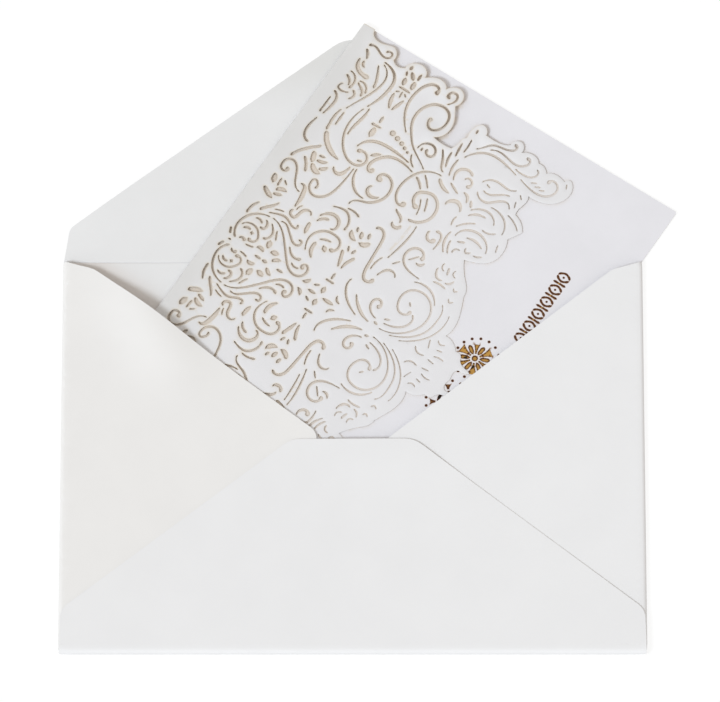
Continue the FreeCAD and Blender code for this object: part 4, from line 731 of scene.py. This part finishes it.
for index, point in enumerate(card_corners):
    away = rim_tree.find(point.to_3d())[2]
    off_fold = FOLD_RADIUS + (point.x if point.x > 0.0 else -FOLD_WRAP - point.x)
    scorched = 1.0 - 0.5 * smooth_step(*SCORCH_FADES, off_fold)
    from_edge = under_lace(Vector((off_fold, point.y)))
    if point.x < 0.0:
        rubbed[index] = max(math.exp(-off_fold / RUBBED_REACH), 0.5 * math.exp(-point.y / RUBBED_TOP))
        clean_rim = max(smooth_step(*CLEAN_ACROSS, off_fold), smooth_step(*CLEAN_DOWN, point.y))
        scorched *= 1.0 - 0.9 * clean_rim * bell(from_edge, CLEAN_WIDTH)
        smoke[index] = scorched
    else:
        # the base leaf: painted warm shade under the lace
        smoke[index] = scorched * smooth_step(*SMOKE_ENDS, from_edge)
        char[index] = max(0.0, 1.0 - cut_tree.find(point.to_3d())[2] / CHAR_WIDTH)
    near_cut[index] = scorched * max(0.0, 1.0 - away / CREAM_WIDTH)
keep_values(card, near_cut=near_cut, smoke=smoke, char=char, rubbed=rubbed)
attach(card, "root")
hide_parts("lace_card")

# ---------------------------------------------------------------- the gold backing
# A sheet of bronze-gold metallic paper glued under the base leaf. It only shows through
# the cut-outs of that leaf, painted dark along every cut and black in a few spots, as shade and shadow.
GOLD_LOW, GOLD_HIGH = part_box("gold_backing")
GOLD_PAPER = GOLD_HIGH[2] - GOLD_LOW[2]
gold_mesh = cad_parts["gold_backing"].data
gold_points = np.array([vertex.co for vertex in gold_mesh.vertices])
gold_flat = off_fold_and_down(gold_points)
(left, top), (right, bottom) = gold_flat.min(axis=0), gold_flat.max(axis=0)
GOLD_PITCH = 4.0 * MM            # points over the sheet, and much closer ones along the cuts over it
GOLD_CLEARANCE = 1.0 * MM
SOOT_ROWS = (-0.45, -0.15, 0.15, 0.45)      # off the cuts, mm
SOOT_SPACING = 0.14 * MM
gold_outline = [Vector((across - FOLD_RADIUS, down))
                for across, down in ((left, top), (right, top), (right, bottom), (left, bottom))]
far_corner = gold_outline[2]
gold_outline = divided(gold_outline, GOLD_PITCH)
sooty = [corner for loop in base_cuts for corner in loop]
sooty += [point for loop in base_cuts for row in SOOT_ROWS for point in beside(loop, row * MM)]
sooty = spaced(sooty, SOOT_SPACING)
gold_field = hexagonal(gold_outline[0], far_corner, GOLD_PITCH)
gold_field = clear_of(gold_field, [gold_outline, sooty], GOLD_CLEARANCE)
gold_corners, gold_triangles = filled([gold_outline], sooty + gold_field)
SMALL_CUT = 1.6 * MM             # a dot this small is painted with shade all over
STAR_TOP = 89.0 * MM             # from here down the painted shade along the cuts reaches further, and the gold is browner
SOOT_REACH = 0.58 * MM
HEAVY_SOOT_REACH = 1.1 * MM
reach_of_cut = []
for loop in base_cuts:
    size_of_cut = max(max(values) - min(values) for values in zip(*loop))
    sooted = size_of_cut < SMALL_CUT or loop[0].y > STAR_TOP
    reach_of_cut += [HEAVY_SOOT_REACH if sooted else SOOT_REACH] * len(loop)

gold = paper_material("bronze gold paper", (0.60, 0.33, 0.072), (0.35, 0.16, 0.026),
                      0.42, 0.02 * MM, 3.0, follows="Height", dark_until=0.35, light_from=0.62)
gold_shader = gold.node_tree.nodes["Principled BSDF"]
gold_shader.inputs["Metallic"].default_value = 0.35
gold_shader.inputs["Specular IOR Level"].default_value = 0.5
# Painted shade: dark brown along the base leaf's cuts, as the shade and burnt walls in the cut-outs.
tinted(gold, "soot", (0.17, 0.075, 0.05), 0.0, 0.7)
# Painted shadow: black spots where the lace's shadow falls on the gold through the cut-outs.
tinted(gold, "burn", (0.03, 0.03, 0.03), 0.3, 0.6)
gold_places = [in_envelope(Vector((point.x + FOLD_RADIUS, point.y, GOLD_HIGH[2])))
               for point in gold_corners]
gold_sheet = paper_piece("gold_backing_sheet", gold_places, gold_triangles, GOLD_PAPER, [gold, gold, gold])
# where the lace's shadow falls on the gold
BURNT_PLACES = ((93.1, 81.8), (96.7, 83.2), (91.0, 87.0), (93.6, 98.0))   # off the fold and down, mm
BURNT_SPOTS = [Vector(place) * MM for place in BURNT_PLACES]
BURNT_SPREAD = 0.8 * MM
soot, burn = (np.zeros(len(gold_corners), dtype=np.float32) for _ in range(2))
for index, point in enumerate(gold_corners):
    _, nearest, away = cut_tree.find(point.to_3d())
    soot[index] = max(0.0, 1.0 - away / reach_of_cut[nearest])
    blotch = 1.0 + ripple(point.x, point.y, 0.7 * MM, 0.8, 12.0)
    burn[index] = blotch * max(bell((point - spot).length, BURNT_SPREAD) for spot in BURNT_SPOTS)
keep_values(gold_sheet, soot=soot, burn=burn)
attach(gold_sheet, "root")
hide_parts("gold_backing")

# ---------------------------------------------------------------- floor, light and camera
# The floor looks plain white to the camera and in reflections, and passes light on as matt
# paint does. A warm room lights from all round, and a wide cool key light from front left.
bpy.ops.mesh.primitive_plane_add(size=6.0, location=(0.0, 0.0, -0.0001))
floor = bpy.context.active_object
floor.name = "white_floor"
floor_paint = bpy.data.materials.new("white floor")
floor_paint.use_nodes = True
tree = floor_paint.node_tree
shader = tree.nodes["Principled BSDF"]
shader.inputs["Base Color"].default_value = (0.9, 0.9, 0.9, 1.0)
shader.inputs["Roughness"].default_value = 0.9
shader.inputs["Specular IOR Level"].default_value = 0.0
glow = node(tree, "ShaderNodeEmission")
glow.inputs["Strength"].default_value = 1.05
ray = node(tree, "ShaderNodeLightPath")
seen_or_mirrored = node(tree, "ShaderNodeMath", operation="MAXIMUM")
seen_at_all = node(tree, "ShaderNodeMath", operation="MAXIMUM")
glow_share = node(tree, "ShaderNodeMath", operation="MULTIPLY")
glow_share.inputs[1].default_value = 0.8
mixed = node(tree, "ShaderNodeMixShader")
tree.links.new(ray.outputs["Is Camera Ray"], seen_or_mirrored.inputs[0])
tree.links.new(ray.outputs["Is Glossy Ray"], seen_or_mirrored.inputs[1])
tree.links.new(seen_or_mirrored.outputs[0], seen_at_all.inputs[0])
tree.links.new(ray.outputs["Is Transmission Ray"], seen_at_all.inputs[1])
tree.links.new(seen_at_all.outputs[0], glow_share.inputs[0])
tree.links.new(glow_share.outputs[0], mixed.inputs["Fac"])
tree.links.new(shader.outputs["BSDF"], mixed.inputs[1])
tree.links.new(glow.outputs["Emission"], mixed.inputs[2])
tree.links.new(mixed.outputs[0], tree.nodes["Material Output"].inputs["Surface"])
floor.data.materials.append(floor_paint)

world = bpy.data.worlds.new("warm room")
bpy.context.scene.world = world
world.use_nodes = True
sky = world.node_tree.nodes["Background"]
sky.inputs["Color"].default_value = (1.0, 0.955, 0.90, 1.0)
sky.inputs["Strength"].default_value = 0.66

key_light = bpy.data.lights.new("key", "SUN")
key_light.energy = 1.68
key_light.angle = math.radians(16.0)
key_light.color = (0.835, 0.92, 1.0)
key = bpy.data.objects.new("key", key_light)
bpy.context.scene.collection.objects.link(key)
key.rotation_euler = Vector((-0.62, -0.60, 0.85)).to_track_quat("Z", "Y").to_euler()

# The camera stands far off and looks down on the open envelope, a little from its foot.
CAMERA_TILT = math.radians(22.83)
CAMERA_DISTANCE = 2.943
TARGET = Vector((2.36 * MM, 37.62 * MM, 0.0))
lens = bpy.data.cameras.new("camera")
lens.lens = 450.0
lens.sensor_width = 36.0
lens.clip_end = 20.0
camera = bpy.data.objects.new("camera", lens)
bpy.context.scene.collection.objects.link(camera)
camera.location = TARGET + CAMERA_DISTANCE * Vector((0.0, -math.sin(CAMERA_TILT), math.cos(CAMERA_TILT)))
camera.rotation_euler = (CAMERA_TILT, 0.0, 0.0)
bpy.context.scene.camera = camera
bpy.context.scene.view_settings.view_transform = "Standard"
